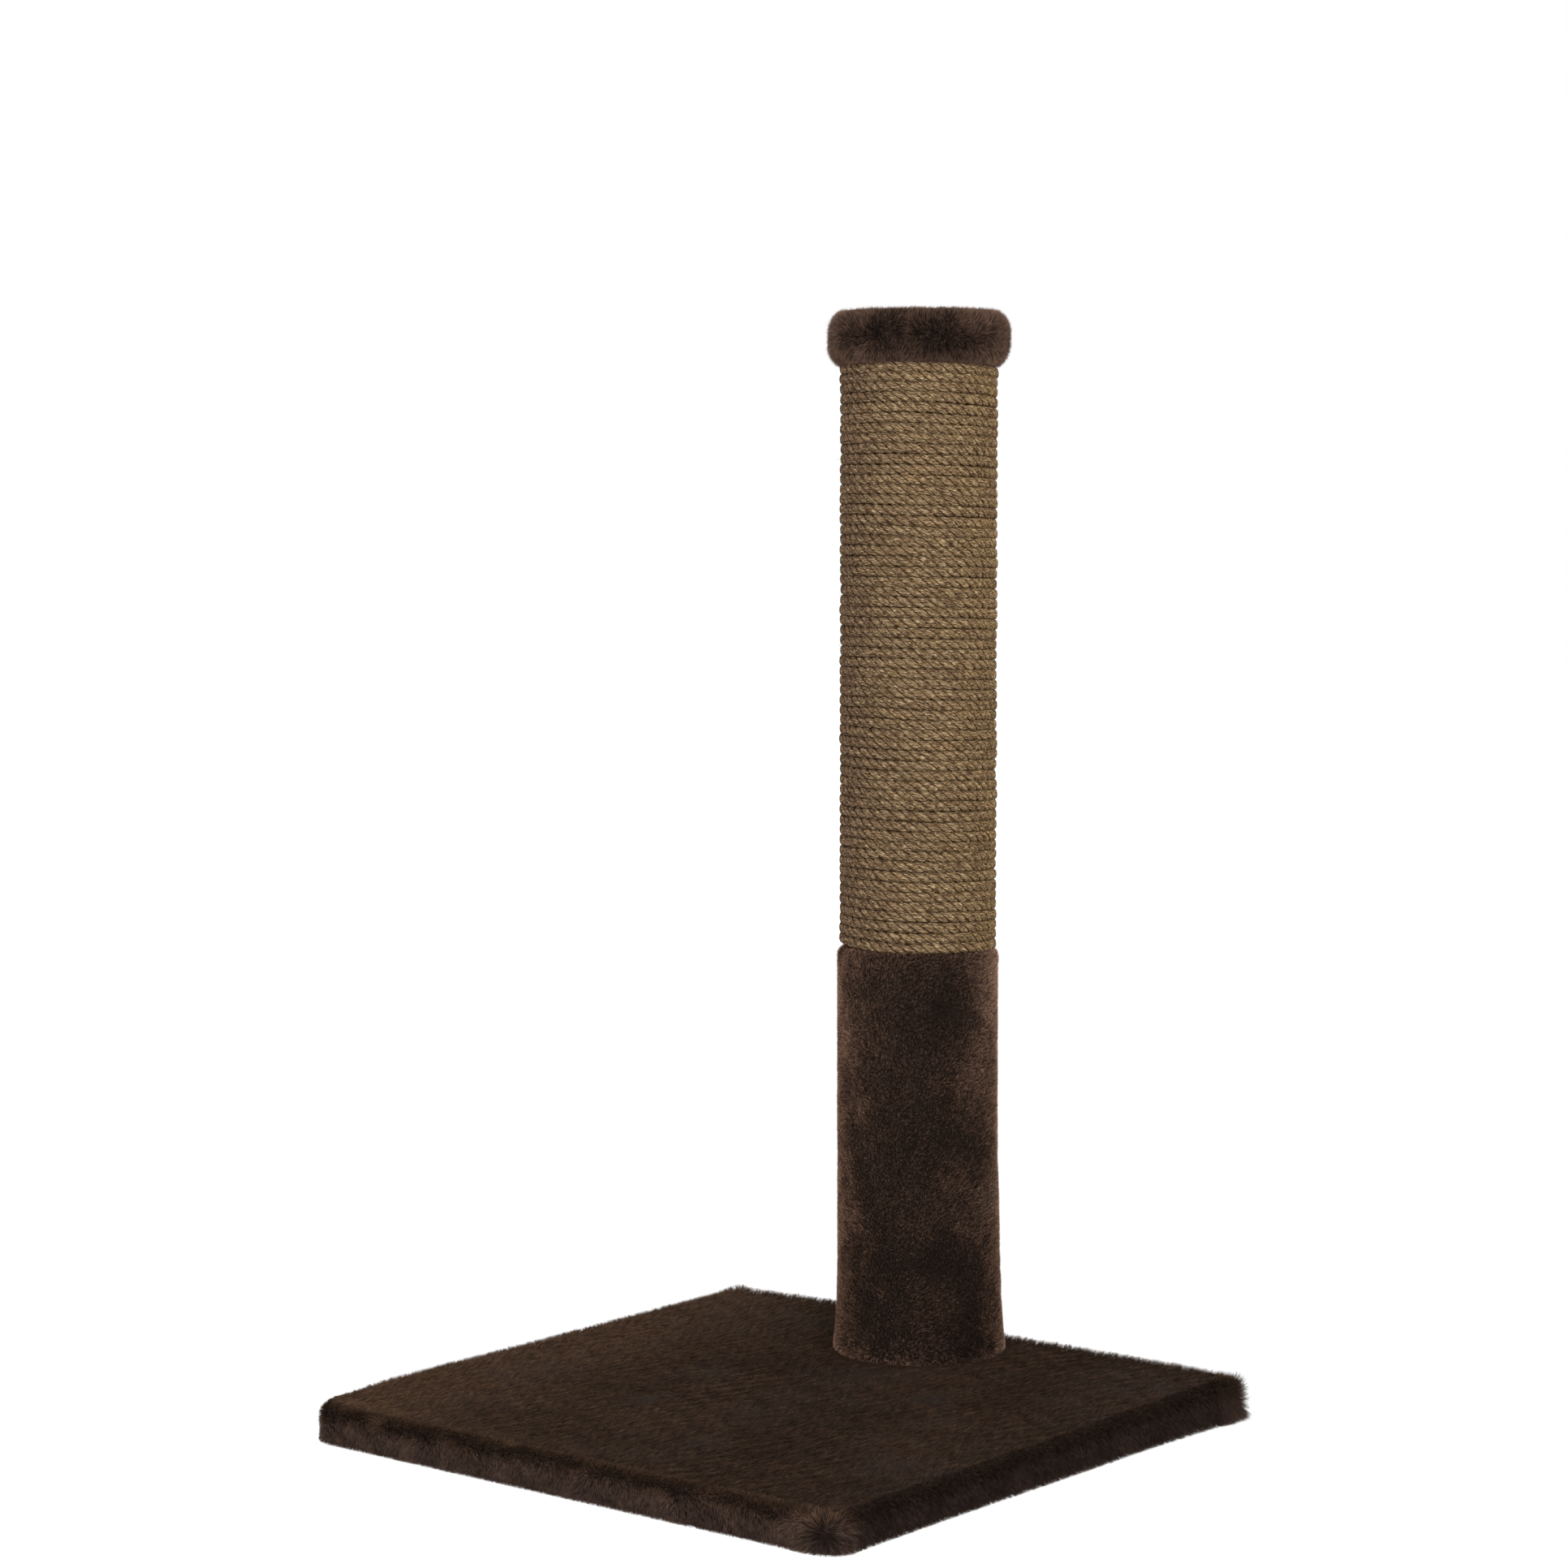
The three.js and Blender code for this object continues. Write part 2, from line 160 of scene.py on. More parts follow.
def smooth_step(value, low, high):
    share = np.clip((value - low) / (high - low), 0, 1)
    return share * share * (3 - 2 * share)


def bell(value, middle, width):
    return np.exp(-((value - middle) / width) ** 2)


def blend(a, b, share):
    return a * (1 - share) + b * share


def apart(turn, middle, whole):
    """How far a turn is from the middle one, by the shorter way round; whole is once round."""
    return (turn - middle + whole / 2) % whole - whole / 2


def facing(turn):
    """The level direction at this turn from +X."""
    return np.stack([np.cos(turn), np.sin(turn), np.zeros_like(turn)], -1)


def dot(a, b):
    return np.sum(a * b, -1)


def raised(flat, z):
    """Points of a plane, all put at the height z."""
    return np.concatenate([flat, np.full((len(flat), 1), z)], 1)


def new_mesh(name, vertices, loops, totals, smooth=True):
    """A mesh object from flat arrays: corner indices, and how many corners each face has."""
    mesh = bpy.data.meshes.new(name)
    mesh.vertices.add(len(vertices))
    mesh.vertices.foreach_set("co", np.ascontiguousarray(vertices, np.float32).ravel())
    mesh.loops.add(len(loops))
    mesh.loops.foreach_set("vertex_index", np.ascontiguousarray(loops, np.int32))
    mesh.polygons.add(len(totals))
    starts = np.concatenate([[0], np.cumsum(totals)[:-1]])
    mesh.polygons.foreach_set("loop_start", starts.astype(np.int32))
    mesh.polygons.foreach_set("use_smooth", np.full(len(totals), smooth))
    mesh.update(calc_edges=True)
    mesh.validate()
    piece = bpy.data.objects.new(name, mesh)
    bpy.context.scene.collection.objects.link(piece)
    return piece


def grid_mesh(name, rings, closed_profile=False):
    """Rings of equal length, joined one to the next. Rings that close up to a point become a pole."""
    count = rings.shape[1]
    vertices = []
    index = []
    for ring in rings:
        pole = np.ptp(ring, axis=0).max() < 1e-9
        start = len(vertices)
        vertices.extend(ring[:1] if pole else ring)
        index.append(np.full(count, start) if pole else start + np.arange(count))
    pairs = list(zip(index[:-1], index[1:]))
    if closed_profile:
        pairs.append((index[-1], index[0]))
    loops = []
    totals = []
    for low, high in pairs:
        for corners in zip(low, np.roll(low, -1), np.roll(high, -1), high):
            face = list(dict.fromkeys(int(c) for c in corners))
            if len(face) > 2:
                loops.extend(face)
                totals.append(len(face))
    return new_mesh(name, np.array(vertices), np.array(loops), np.array(totals))


def add_values(mesh, **values):
    """Gives each vertex a number under each name, for its material to read."""
    for name, numbers in values.items():
        layer = mesh.attributes.new(name, "FLOAT", "POINT")
        layer.data.foreach_set("value", numbers.astype(np.float32))


def add_map(mesh, name, corners):
    """A texture map, from a place for each corner of each face."""
    mesh.uv_layers.new(name=name).data.foreach_set("uv", corners.astype(np.float32).ravel())


def dress(piece, material, slot, *nodes):
    piece.data.materials.append(material)
    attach(piece, "root")
    if nodes:
        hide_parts(*nodes)
    return piece


# ---- materials


class Tree:
    """Short calls to add shader nodes to a node tree."""

    def __init__(self, tree):
        self.tree = tree

    def add(self, kind, **settings):
        node = self.tree.nodes.new(kind)
        for name, value in settings.items():
            setattr(node, name, value)
        return node

    def link(self, source, target):
        self.tree.links.new(source, target)

    def feed(self, sockets, values):
        """Gives each socket its value, which is a constant or another node's output."""
        for socket, value in zip(sockets, values):
            if isinstance(value, (int, float, tuple)):
                socket.default_value = value
            else:
                self.link(value, socket)

    def math(self, operation, a, b):
        node = self.add("ShaderNodeMath", operation=operation)
        self.feed(node.inputs, (a, b))
        return node.outputs["Value"]

    def show(self, share, usual, other, output):
        """Puts the usual shader into the output, and by the given share the other one."""
        both = self.add("ShaderNodeMixShader")
        self.feed(both.inputs, (share, usual, other))
        self.link(both.outputs["Shader"], self.tree.nodes[output].inputs["Surface"])

    def white(self, node, strength):
        """Sets a node to white light of this strength."""
        self.feed((node.inputs["Color"], node.inputs["Strength"]), ((1, 1, 1, 1), strength))
        return node.outputs[0]


class Nodes(Tree):
    """A material with one Principled shader. Its constants are named as the sockets, with _ for a space."""

    def __init__(self, name, **constants):
        self.material = bpy.data.materials.new(name)
        self.material.use_nodes = True
        super().__init__(self.material.node_tree)
        self.shader = self.tree.nodes["Principled BSDF"]
        for socket, value in constants.items():
            self.shader.inputs[socket.replace("_", " ")].default_value = value

    def mapped(self, place, scale):
        mapping = self.add("ShaderNodeMapping")
        mapping.inputs["Scale"].default_value = scale
        self.link(place, mapping.inputs["Vector"])
        return mapping.outputs["Vector"]

    def coordinates(self, scale=(1, 1, 1)):
        return self.mapped(self.add("ShaderNodeTexCoord").outputs["Object"], scale)

    def along_rope(self, scale):
        """Metres round the rope and metres along it, as the rope's own map has them."""
        return self.mapped(self.add("ShaderNodeUVMap", uv_map="Along").outputs["UV"], scale)

    def noise(self, vector, scale, detail=3, roughness=0.55):
        node = self.add("ShaderNodeTexNoise")
        node.inputs["Scale"].default_value = scale
        node.inputs["Detail"].default_value = detail
        node.inputs["Roughness"].default_value = roughness
        self.link(vector, node.inputs["Vector"])
        return node.outputs["Fac"]

    def ramp(self, value, *stops):
        node = self.add("ShaderNodeValToRGB")
        elements = node.color_ramp.elements
        while len(elements) < len(stops):
            elements.new(0.5)
        for element, (place, color) in zip(elements, stops):
            element.position = place
            element.color = color
        self.link(value, node.inputs["Fac"])
        return node.outputs["Color"]

    def attribute(self, name):
        return self.add("ShaderNodeAttribute", attribute_name=name).outputs["Fac"]

    def mix(self, factor, a, b, kind="MIX"):
        node = self.add("ShaderNodeMix", data_type="RGBA", blend_type=kind)
        self.feed((node.inputs[0], node.inputs[6], node.inputs[7]), (factor, a, b))
        return node.outputs[2]

    def multiply(self, a, b):
        return self.mix(1.0, a, b, "MULTIPLY")

    def color(self, source):
        self.link(source, self.shader.inputs["Base Color"])

    def bump(self, height, distance, strength=1.0):
        node = self.add("ShaderNodeBump")
        node.inputs["Strength"].default_value = strength
        node.inputs["Distance"].default_value = distance
        self.link(height, node.inputs["Height"])
        self.link(node.outputs["Normal"], self.shader.inputs["Normal"])


def pile_material(name, root, middle, tip, sheen, darkest=0.3):
    """Hair: dark at the root, lighter at the tip, each hair a little different from the next. The dark
    roots are in part painted shade deep in the pile, and the light tips in part painted light. The shade
    value holds each hair's own tone and, in places, painted light and painted shade. The darkest hair has
    this share of the usual light."""
    m = Nodes(name, Roughness=0.7, Specular_IOR_Level=0.08, Sheen_Weight=sheen, Sheen_Roughness=0.45,
              Sheen_Tint=srgb(188, 167, 150))
    along = m.ramp(m.attribute("along"), (0.0, root), (0.55, middle), (1.0, tip))
    shade = m.ramp(m.attribute("shade"), (0.0, (darkest, 0.9 * darkest, 0.87 * darkest, 1)),
                   (0.5, (1, 1, 1, 1)), (1.0, (2.3, 2.25, 2.2, 1)))
    m.color(m.multiply(along, shade))
    return m.material


def grainy(name, scale, dark, light, stretch=(1, 1, 1), detail=4, bump=0.0, **constants):
    """A fine grain between two colours, which may also lift the surface."""
    m = Nodes(name, **constants)
    grain = m.noise(m.coordinates(stretch), scale, detail)
    m.color(m.ramp(grain, (0.3, dark), (0.7, light)))
    if bump:
        m.bump(grain, bump)
    return m, grain


def cloth_material():
    """The knitted ground of the plush, matted with hair, seen only between the strands."""
    m, _ = grainy("plush_ground", 900, srgb(22, 15, 12), srgb(46, 33, 26), detail=3, bump=1.2 * MM,
                  Roughness=0.95, Specular_IOR_Level=0.1)
    return m.material


def sisal_material():
    """Straw-coloured fibre: thin streaks along the yarns, in random patches greyer or lighter. Painted
    shade makes it dark in the grooves and darker on the rope's left and right sides as seen from the
    camera.
    """
    m = Nodes("sisal", Roughness=0.85, Specular_IOR_Level=0.2)
    broad = m.noise(m.along_rope((900, 110, 1)), 1.0, 2, 0.6)
    thin = m.noise(m.along_rope((2400, 260, 1)), 1.0, 2, 0.6)
    patches = m.noise(m.along_rope((60, 14, 1)), 1.0, 3)
    streaks = m.math("ADD", m.math("MULTIPLY", broad, 0.38), m.math("MULTIPLY", thin, 0.62))
    straw = m.ramp(streaks, (0.39, srgb(38, 24, 14)), (0.46, srgb(112, 86, 59)),
                   (0.52, srgb(148, 120, 86)), (0.60, srgb(228, 202, 160)))
    tone = m.ramp(patches, (0.3, (0.80, 0.75, 0.74, 1)), (0.5, (1, 1, 1, 1)), (0.7, (1.16, 1.14, 1.08, 1)))
    toned = m.multiply(straw, tone)
    # painted shade: darker on the rope's left and right sides as seen from the camera
    for attribute, tint in (("soiled", (0.66, 0.60, 0.62, 1)), ("yellowed", (0.83, 0.78, 0.66, 1))):
        toned = m.mix(m.attribute(attribute), toned, m.multiply(toned, tint))
    # painted shade: dark in the grooves between the strands, where their crests fall away
    groove = m.ramp(m.attribute("groove"), (0.0, (0.05, 0.035, 0.025, 1)), (0.14, (0.33, 0.26, 0.20, 1)),
                    (0.30, (1, 1, 1, 1)))
    m.color(m.multiply(toned, groove))
    m.bump(streaks, 1.8 * MM)
    return m.material


def fibre_material():
    m = Nodes("sisal_fibre", Roughness=0.75, Specular_IOR_Level=0.2)
    m.color(m.ramp(m.attribute("shade"), (0.0, srgb(46, 31, 19)), (0.5, srgb(126, 101, 71)),
                   (1.0, srgb(216, 194, 158))))
    return m.material


def particle_board_material():
    m = Nodes("particle_board", Roughness=0.85)
    chips = m.add("ShaderNodeTexVoronoi")
    chips.inputs["Scale"].default_value = 260
    m.link(m.coordinates(), chips.inputs["Vector"])
    grain = m.noise(m.coordinates((1, 6, 1)), 120, 4)
    m.color(m.ramp(m.math("MULTIPLY", chips.outputs["Distance"], grain),
                   (0.05, srgb(142, 108, 70)), (0.25, srgb(188, 154, 110)), (0.5, srgb(214, 186, 144))))
    m.bump(chips.outputs["Distance"], 0.3 * MM)
    return m.material


def cardboard_material():
    m, _ = grainy("cardboard", 160, srgb(150, 120, 86), srgb(182, 152, 114), (1, 1, 5), bump=0.15 * MM,
                  Roughness=0.9)
    return m.material


def zinc_material():
    m, cloud = grainy("zinc_steel", 220, srgb(96, 94, 92), srgb(128, 126, 123), Roughness=0.45,
                      Metallic=1.0)
    dullness = m.ramp(cloud, (0.3, (0.3, 0.3, 0.3, 1)), (0.7, (0.5, 0.5, 0.5, 1)))
    m.link(dullness, m.shader.inputs["Roughness"])
    return m.material


# ---- surfaces that the pile grows on


class Profile:
    """A line of (across, height) points that is swept round, measured by its length s. A kind of sweep says
    where its points lie and which way is onward; its sense is -1 where the line runs down the outside."""
    sense = 1

    def __init__(self, points):
        self.points = np.array(points, float)
        steps = np.linalg.norm(np.diff(self.points, axis=0), axis=1)
        self.reach = np.concatenate([[0], np.cumsum(steps)])
        self.length = self.reach[-1]

    def at(self, s):
        return np.interp(s, self.reach, self.points[:, 0]), np.interp(s, self.reach, self.points[:, 1])

    def frame(self, s, place):
        """Point, outward normal, direction along the profile and direction round."""
        step = 0.5 * MM
        along = unit(self.point(s + step, place) - self.point(s - step, place))
        onward = self.onward(place)
        return self.point(s, place), unit(self.sense * np.cross(onward, along)), along, onward


class Turned(Profile):
    """A profile of (radius, height) points, turned round the post, and pushed aside at its foot."""

    def __init__(self, points, aside=0.0):
        super().__init__(points)
        self.aside = aside

    def point(self, s, turn):
        r, z = self.at(s)
        off = self.aside * (1 - smooth_step(z, *ASIDE_HEIGHTS))
        return np.stack([r * np.cos(turn) + off * ASIDE[0], POST_Y + r * np.sin(turn) + off * ASIDE[1],
                         z + 0 * turn], -1)

    def onward(self, turn):
        return np.stack([-np.sin(turn), np.cos(turn), np.zeros_like(turn)], -1)


def square_outline(t, half, radii, shift=0.0):
    """A point and its outward normal on a square with round corners; t goes round once from 0 to 1.
    Each quarter of the way is the straight of one side and the corner at its end."""
    quarter = np.floor(4 * t).astype(int) % 4
    corner, before = radii[quarter], radii[quarter - 1]
    straight = 2 * half - corner - before
    way = 4 * t % 1 * (straight + corner * math.pi / 2)
    bend = np.clip((way - straight) / corner, 0, math.pi / 2)
    x = half - corner + corner * np.cos(bend)
    y = before - half + np.minimum(way, straight) + corner * np.sin(bend)
    turn = quarter * math.pi / 2
    cos, sin = np.cos(turn), np.sin(turn)
    point = np.stack([cos * x - sin * y + shift, sin * x + cos * y], -1)
    normal = np.stack([np.cos(turn + bend), np.sin(turn + bend)], -1)
    return point, normal


def outline_steps(half, radii, straight_steps, corner_steps):
    """Values of t that are close together round the corners."""
    steps = []
    for quarter, (corner, before) in enumerate(zip(radii, np.roll(radii, 1))):
        straight = 2 * half - corner - before
        share = straight / (straight + corner * math.pi / 2)
        steps.append(quarter / 4 + np.linspace(0, share, straight_steps, endpoint=False) / 4)
        steps.append(quarter / 4 + np.linspace(share, 1, corner_steps, endpoint=False) / 4)
    return np.concatenate(steps)


def swollen(points):
    """The base's outer cloth, raised a little towards +Y, and most at one place of that edge."""
    x, y = points[..., :1], points[..., 1:2]
    rise = 1 + SWELL * smooth_step(y, -0.15, 0.25)
    rise = rise + 0.19 * np.exp(-((x + 0.13) / 0.13) ** 2 - ((y - 0.30) / 0.09) ** 2)
    rise = rise + 0.07 * smooth_step(-x, 0.12, 0.29) * smooth_step(y, -0.28, -0.16)
    return np.concatenate([points[..., :2], points[..., 2:] * rise], -1)


def within_outline(points, margin):
    """Whether points lie inside the base's outline, at least margin away from it."""
    x, y = points[:, 0] - CLOTH_SHIFT, points[:, 1]
    inside = np.maximum(np.abs(x), np.abs(y)) < SIDE_CLOTH - margin
    for radius, side_x, side_y in zip(CORNER_RADII, (1, -1, -1, 1), (1, 1, -1, -1)):
        over_x = x * side_x - SIDE_CLOTH + radius
        over_y = y * side_y - SIDE_CLOTH + radius
        inside &= (over_x < 0) | (over_y < 0) | (np.hypot(over_x, over_y) < max(radius - margin, 0))
    return inside


class Rim(Profile):
    """The edge of the base: a profile of (offset, height) points, swept round the cover's outline."""
    sense = -1

    def point(self, s, t):
        offset, z = self.at(s)
        place, normal = square_outline(t % 1, SIDE_CLOTH, CORNER_RADII, CLOTH_SHIFT)
        return swollen(np.concatenate([place + normal * offset[..., None], z[..., None]], -1))

    def onward(self, t):
        _, outward = square_outline(t % 1, SIDE_CLOTH, CORNER_RADII)
        return np.stack([-outward[..., 1], outward[..., 0], np.zeros(len(outward))], -1)


def arc(center, radius, start, end, count):
    turn = np.radians(np.linspace(start, end, count))
    return [(center[0] + radius * math.cos(a), center[1] + radius * math.sin(a)) for a in turn]


# ---- pile


TRIANGLES_PER_PIECE = 196000
NO_CEILING = 9.0              # above anything here
LONG_HAIR = {"steps": np.array([0.0, 0.38, 0.74, 1.0]), "widths": np.array([1.0, 0.85, 0.5])}
SHORT_HAIR = {"steps": np.array([0.0, 0.55, 1.0]), "widths": np.array([1.0, 0.7])}


class Pile:
    """Strands of hair, gathered from several calls and then cut up into pieces."""

    def __init__(self, steps, widths):
        self.steps, self.widths = steps, widths
        self.parts = []

    def add(self, root, normal, lift, bend, length, width, pull, shade, limit, low=FLOOR_GAP,
            high=NO_CEILING):
        """Each strand leaves its root along lift and ends along bend, and pull draws its tip to its clump.
        Its tip stands off the cloth by no more than limit, and stays between the heights low and high."""
        lift, bend = unit(lift), unit(bend)
        t = self.steps[None, :, None]
        offset = length[:, None, None] * (t * lift[:, None] + t * t / 2 * (bend - lift)[:, None])
        offset = offset + t ** 1.5 * pull[:, None]
        height = dot(offset, normal[:, None])
        excess = np.clip(1 - limit / np.maximum(height[:, -1], 1e-6), 0, 1)
        offset = offset - (excess[:, None] * height)[..., None] * normal[:, None]
        rise = offset[:, -1, 2]
        room = np.where(rise > 0, high - root[:, 2], root[:, 2] - low).clip(0)
        offset[..., 2] *= np.minimum(1, room / np.maximum(np.abs(rise), 1e-6))[:, None]
        line = root[:, None] + offset
        across = unit(np.cross(line[:, -1] - root, unit(rng.normal(size=root.shape))))
        self.parts.append((line, across, np.broadcast_to(width, len(root)), shade.clip(0, 1)))

    def grow(self, name, material, slot):
        line, across, width, shade = (np.concatenate(part) for part in zip(*self.parts))
        order = rng.permutation(len(line))
        per_piece = TRIANGLES_PER_PIECE // (2 * len(self.widths) - 1)
        pieces = []
        for start in range(0, len(line), per_piece):
            pick = order[start:start + per_piece]
            number = len(pieces) + 1
            piece = self.ribbons(f"{name}_{number}", line[pick], across[pick], width[pick], shade[pick])
            pieces.append(dress(piece, material, slot))
        return pieces

    def ribbons(self, name, line, across, width, shade):
        """A thin ribbon along each line, that ends in a point."""
        count, bands = len(line), len(self.widths)
        half = width[:, None, None] / 2 * self.widths[None, :, None]
        sides = [line[:, :bands] + side * across[:, None] * half for side in (-1, 1)]
        body = np.stack(sides, 2).reshape(count, 2 * bands, 3)
        vertices = np.concatenate([body, line[:, bands:]], 1)
        quads = [2 * band + corner for band in range(bands - 1) for corner in (0, 1, 3, 2)]
        faces = np.array(quads + [2 * bands - 2, 2 * bands - 1, 2 * bands])
        each = 2 * bands + 1
        loops = (np.arange(count)[:, None] * each + faces).ravel()
        piece = new_mesh(name, vertices.reshape(-1, 3), loops, np.tile([4] * (bands - 1) + [3], count))
        along = np.append(np.repeat(self.steps[:-1], 2), self.steps[-1])
        add_values(piece.data, along=np.tile(along, count), shade=np.repeat(shade, each))
        add_map(piece.data, "OFBake", self.cells(count))
        return piece

    def cells(self, count):
        """Places in a texture with a small cell for each strand."""
        side = math.ceil(math.sqrt(count))
        v = 0.1 + 0.8 * self.steps
        corners = []
        for low, high in zip(v[:-2], v[1:-1]):
            corners += [(0.1, low), (0.9, low), (0.9, high), (0.1, high)]
        corners += [(0.1, v[-2]), (0.9, v[-2]), (0.5, v[-1])]
        corners = np.array(corners)
        cell = np.arange(count)[:, None]
        return np.stack([cell % side + corners[:, 0], cell // side + corners[:, 1]], -1) / side


EVEN_STEPS = (0.7548776662, 0.5698402910)   # multiples of these, less their whole part, never bunch up


def scatter(number, aspect=1.0):
    """Two lists of values from 0 to 1 that cover a strip evenly, without a visible order. The strip is
    aspect times as long in the second value as it is wide in the first."""
    blocks = max(1, round(aspect))
    index = np.arange(number)
    block, step = index % blocks, index // blocks
    start = rng.uniform(0, 1, (blocks, 2))[block]
    jitter = rng.normal(0, 0.3 * math.sqrt(blocks / number), (number, 2))
    across = (start[:, 0] + step * EVEN_STEPS[0] + jitter[:, 0]) % 1
    along = (start[:, 1] + step * EVEN_STEPS[1] + jitter[:, 1]) % 1
    return across, (block + along) / blocks


def clumps(count, per_clump):
    """For each strand: the number of its clump. Clumps differ in size."""
    return np.repeat(np.arange(count), rng.poisson(per_clump, count) + 1)


def per_strand(mean, spread, count, low):
    """A length in millimetres for each strand, no less than low, given in metres."""
    return np.maximum(rng.normal(mean, spread, count), low) * MM


def shades(of_clump, mean, clump_spread, strand_spread):
    """How light each strand is: clumps differ from each other, and so do the strands of a clump."""
    by_clump = rng.normal(0, clump_spread, of_clump[-1] + 1)
    return mean + by_clump[of_clump] + rng.normal(0, strand_spread, len(of_clump))


# ---- base


def rim_profile():
    top = arc((-EDGE_RADIUS, DECK_CLOTH - EDGE_RADIUS), EDGE_RADIUS, 90, 0, 8)
    return top + arc((-HEM_RADIUS, FLOOR_GAP + HEM_RADIUS), HEM_RADIUS, 0, -90, 5)


def base_ground(material):
    """The cover's cloth: over the top, round the edge, folded in under the board, back inside."""
    t = outline_steps(SIDE_CLOTH, CORNER_RADII, 30, 12)
    place, normal = square_outline(t, SIDE_CLOTH, CORNER_RADII, CLOTH_SHIFT)
    inner = place - normal * EDGE_RADIUS
    rings = [swollen(np.tile([[0, 0, DECK_CLOTH]], (len(t), 1)))]
    for share in np.linspace(0, 1, 40)[1:]:
        ring = raised(inner * share, DECK_CLOTH)
        ring[:, 2] += 0.5 * MM * wander(ring, 0.09, 3) * math.sin(math.pi * share)
        rings.append(swollen(ring))
    for offset, z in rim_profile()[1:]:
        rings.append(swollen(raised(place + normal * offset, z)))
    board_room = BOARD_HALF + SNUG
    floor, ceiling = board_low.z - SNUG, board_high.z + SNUG
    for half, z in ((FOLD_INNER_HALF, FLOOR_GAP), (FOLD_INNER_HALF, floor), (board_room, floor),
                    (board_room, ceiling)):
        rings.append(raised(square_outline(t, half, FOLD_RADII)[0], z))
    rings.append(np.tile([[0, 0, ceiling]], (len(t), 1)))
    return dress(grid_mesh("base_cover_cloth", np.array(rings)), material, "plush", "base_plush_cover")


def lay_direction(points):
    """The lay of the pile on the base's top, wandering a little from place to place."""
    turn = 0.20 * wander(points, 0.20, 5) + 0.14 * wander(points, 0.035, 6)
    cos, sin = np.cos(turn), np.sin(turn)
    return np.stack([cos * LAY[0] - sin * LAY[1], sin * LAY[0] + cos * LAY[1], np.zeros(len(points))], -1)


BASE_CLUMP = 5                # strands that a clump has besides its first, on average
EDGE_MARGIN = 5 * MM          # from the cloth's edge to the end of the top's short pile
LEFT_START = (-0.29, -0.2)    # where the left edge's tall pile begins, and where it is at its full height


def deck_pile(pile, count):
    """Short pile that lies almost flat, in long overlapping streaks."""
    spots = np.stack(scatter(count // (BASE_CLUMP + 1)), -1) * 2 - 1
    centre = raised(spots * (SIDE_CLOTH - EDGE_MARGIN), DECK_CLOTH)
    centre = centre[np.hypot(centre[:, 0], centre[:, 1] - POST_Y) > SLEEVE_CLOTH - 4 * MM]
    of_clump = clumps(len(centre), BASE_CLUMP)
    total = len(of_clump)
    across, along = rng.normal(0, 0.8 * MM, total), rng.normal(0, 3.6 * MM, total)
    lay = lay_direction(centre)[of_clump]
    side = np.cross(UP, lay)
    root = swollen(centre[of_clump] + lay * along[:, None] + side * across[:, None])
    x, y = root[:, 0], root[:, 1]
    to_back = smooth_step(y, SIDE_CLOTH - 30 * MM, SIDE_CLOTH - 6 * MM)
    to_left = smooth_step(-x, SIDE_CLOTH - 40 * MM, SIDE_CLOTH - 10 * MM) * smooth_step(y, *LEFT_START)
    to_front = smooth_step(-y, SIDE_CLOTH - 30 * MM, SIDE_CLOTH - 9 * MM)
    rise = np.radians(rng.normal(20, 6, total) + 38 * to_back + 22 * to_left + 20 * to_front)[:, None]
    lie = np.radians(rng.normal(4, 4, total) + 42 * to_back + 22 * to_left + 20 * to_front)[:, None]
    stray = side * rng.normal(0, 0.12, (total, 1))
    lift = lay * np.cos(rise) + UP * np.sin(rise) + stray
    bend = lay * np.cos(lie) + UP * np.sin(lie) + stray * 1.5
    streaked = np.stack([dot(root, LAY) / 70, dot(root, np.cross(UP, LAY)) / 11], -1) / MM
    nap_line = bell(wander(streaked, 3.0, 44), 0, 0.14)
    shade = shades(of_clump, 0.40, 0.10, 0.11) + 0.03 * wander(root, 0.15, 41) + 0.09 * nap_line
    shade = shade + 0.07 * wander(streaked, 1.0, 40) + 0.10 * wander(streaked, 0.3, 43)
    # painted light: lighter along the left (-X) edge and towards -X, darker towards +X; painted shade round
    # the post's foot
    shade += 0.40 * smooth_step(-x - 0.15 * y, 0.10, 0.32)
    shade = shade + 0.07 * smooth_step(-x, -0.05, 0.20) - 0.06 * smooth_step(x, -0.05, 0.20)
    shade -= 0.16 * bell(np.hypot(x, y - POST_Y) - SLEEVE_CLOTH, 0, 16 * MM)
    keep = within_outline(root, EDGE_MARGIN)
    normal = np.tile(UP, (total, 1))
    pull = -side * across[:, None] * 0.5
    values = (root, normal, lift, bend, per_strand(7.2, 1.2, total, 3), rng.uniform(0.28, 0.44, total) * MM,
              pull, shade, per_strand(2.9, 0.5, total, 1) * (1 + 0.9 * to_back + 0.8 * to_left))
    pile.add(*(value[keep] for value in values))


BURST_STRENGTH = np.array([0.3, 0.3, 0.85, 0.75])   # corners: -X-Y, -X+Y, +X-Y, +X+Y
BURST_REACH = np.array([24, 24, 27, 36]) * MM
BACK_LEFT, LONG_TUFT = 1, 3   # numbers of the corners -X+Y and +X+Y


def corner_burst(points):
    """Away from the nearest corner's middle, how strongly the pile follows it, and the corner's number."""
    reach = SIDE_CLOTH - EDGE_MARGIN
    corners = np.array([(x * reach + CLOTH_SHIFT, y * reach, DECK_CLOTH * 0.5)
                        for x in (-1, 1) for y in (-1, 1)])
    corners[2] += np.array([-5, -4, 1]) * MM
    offset = points[:, None] - corners[None]
    distance = np.linalg.norm(offset, axis=2)
    nearest = distance.argmin(1)
    pick = np.arange(len(points))
    strength = BURST_STRENGTH[nearest] * bell(distance[pick, nearest], 0, BURST_REACH[nearest])
    return unit(offset[pick, nearest]), strength, nearest


# stretches of the way once round the base's edge, which goes from 0 to 1
WHOLE_EDGE = (0.0, 1.0)
FRONT_EDGE = (0.752, 0.985)
BACK_CORNER = (0.232, 0.256)


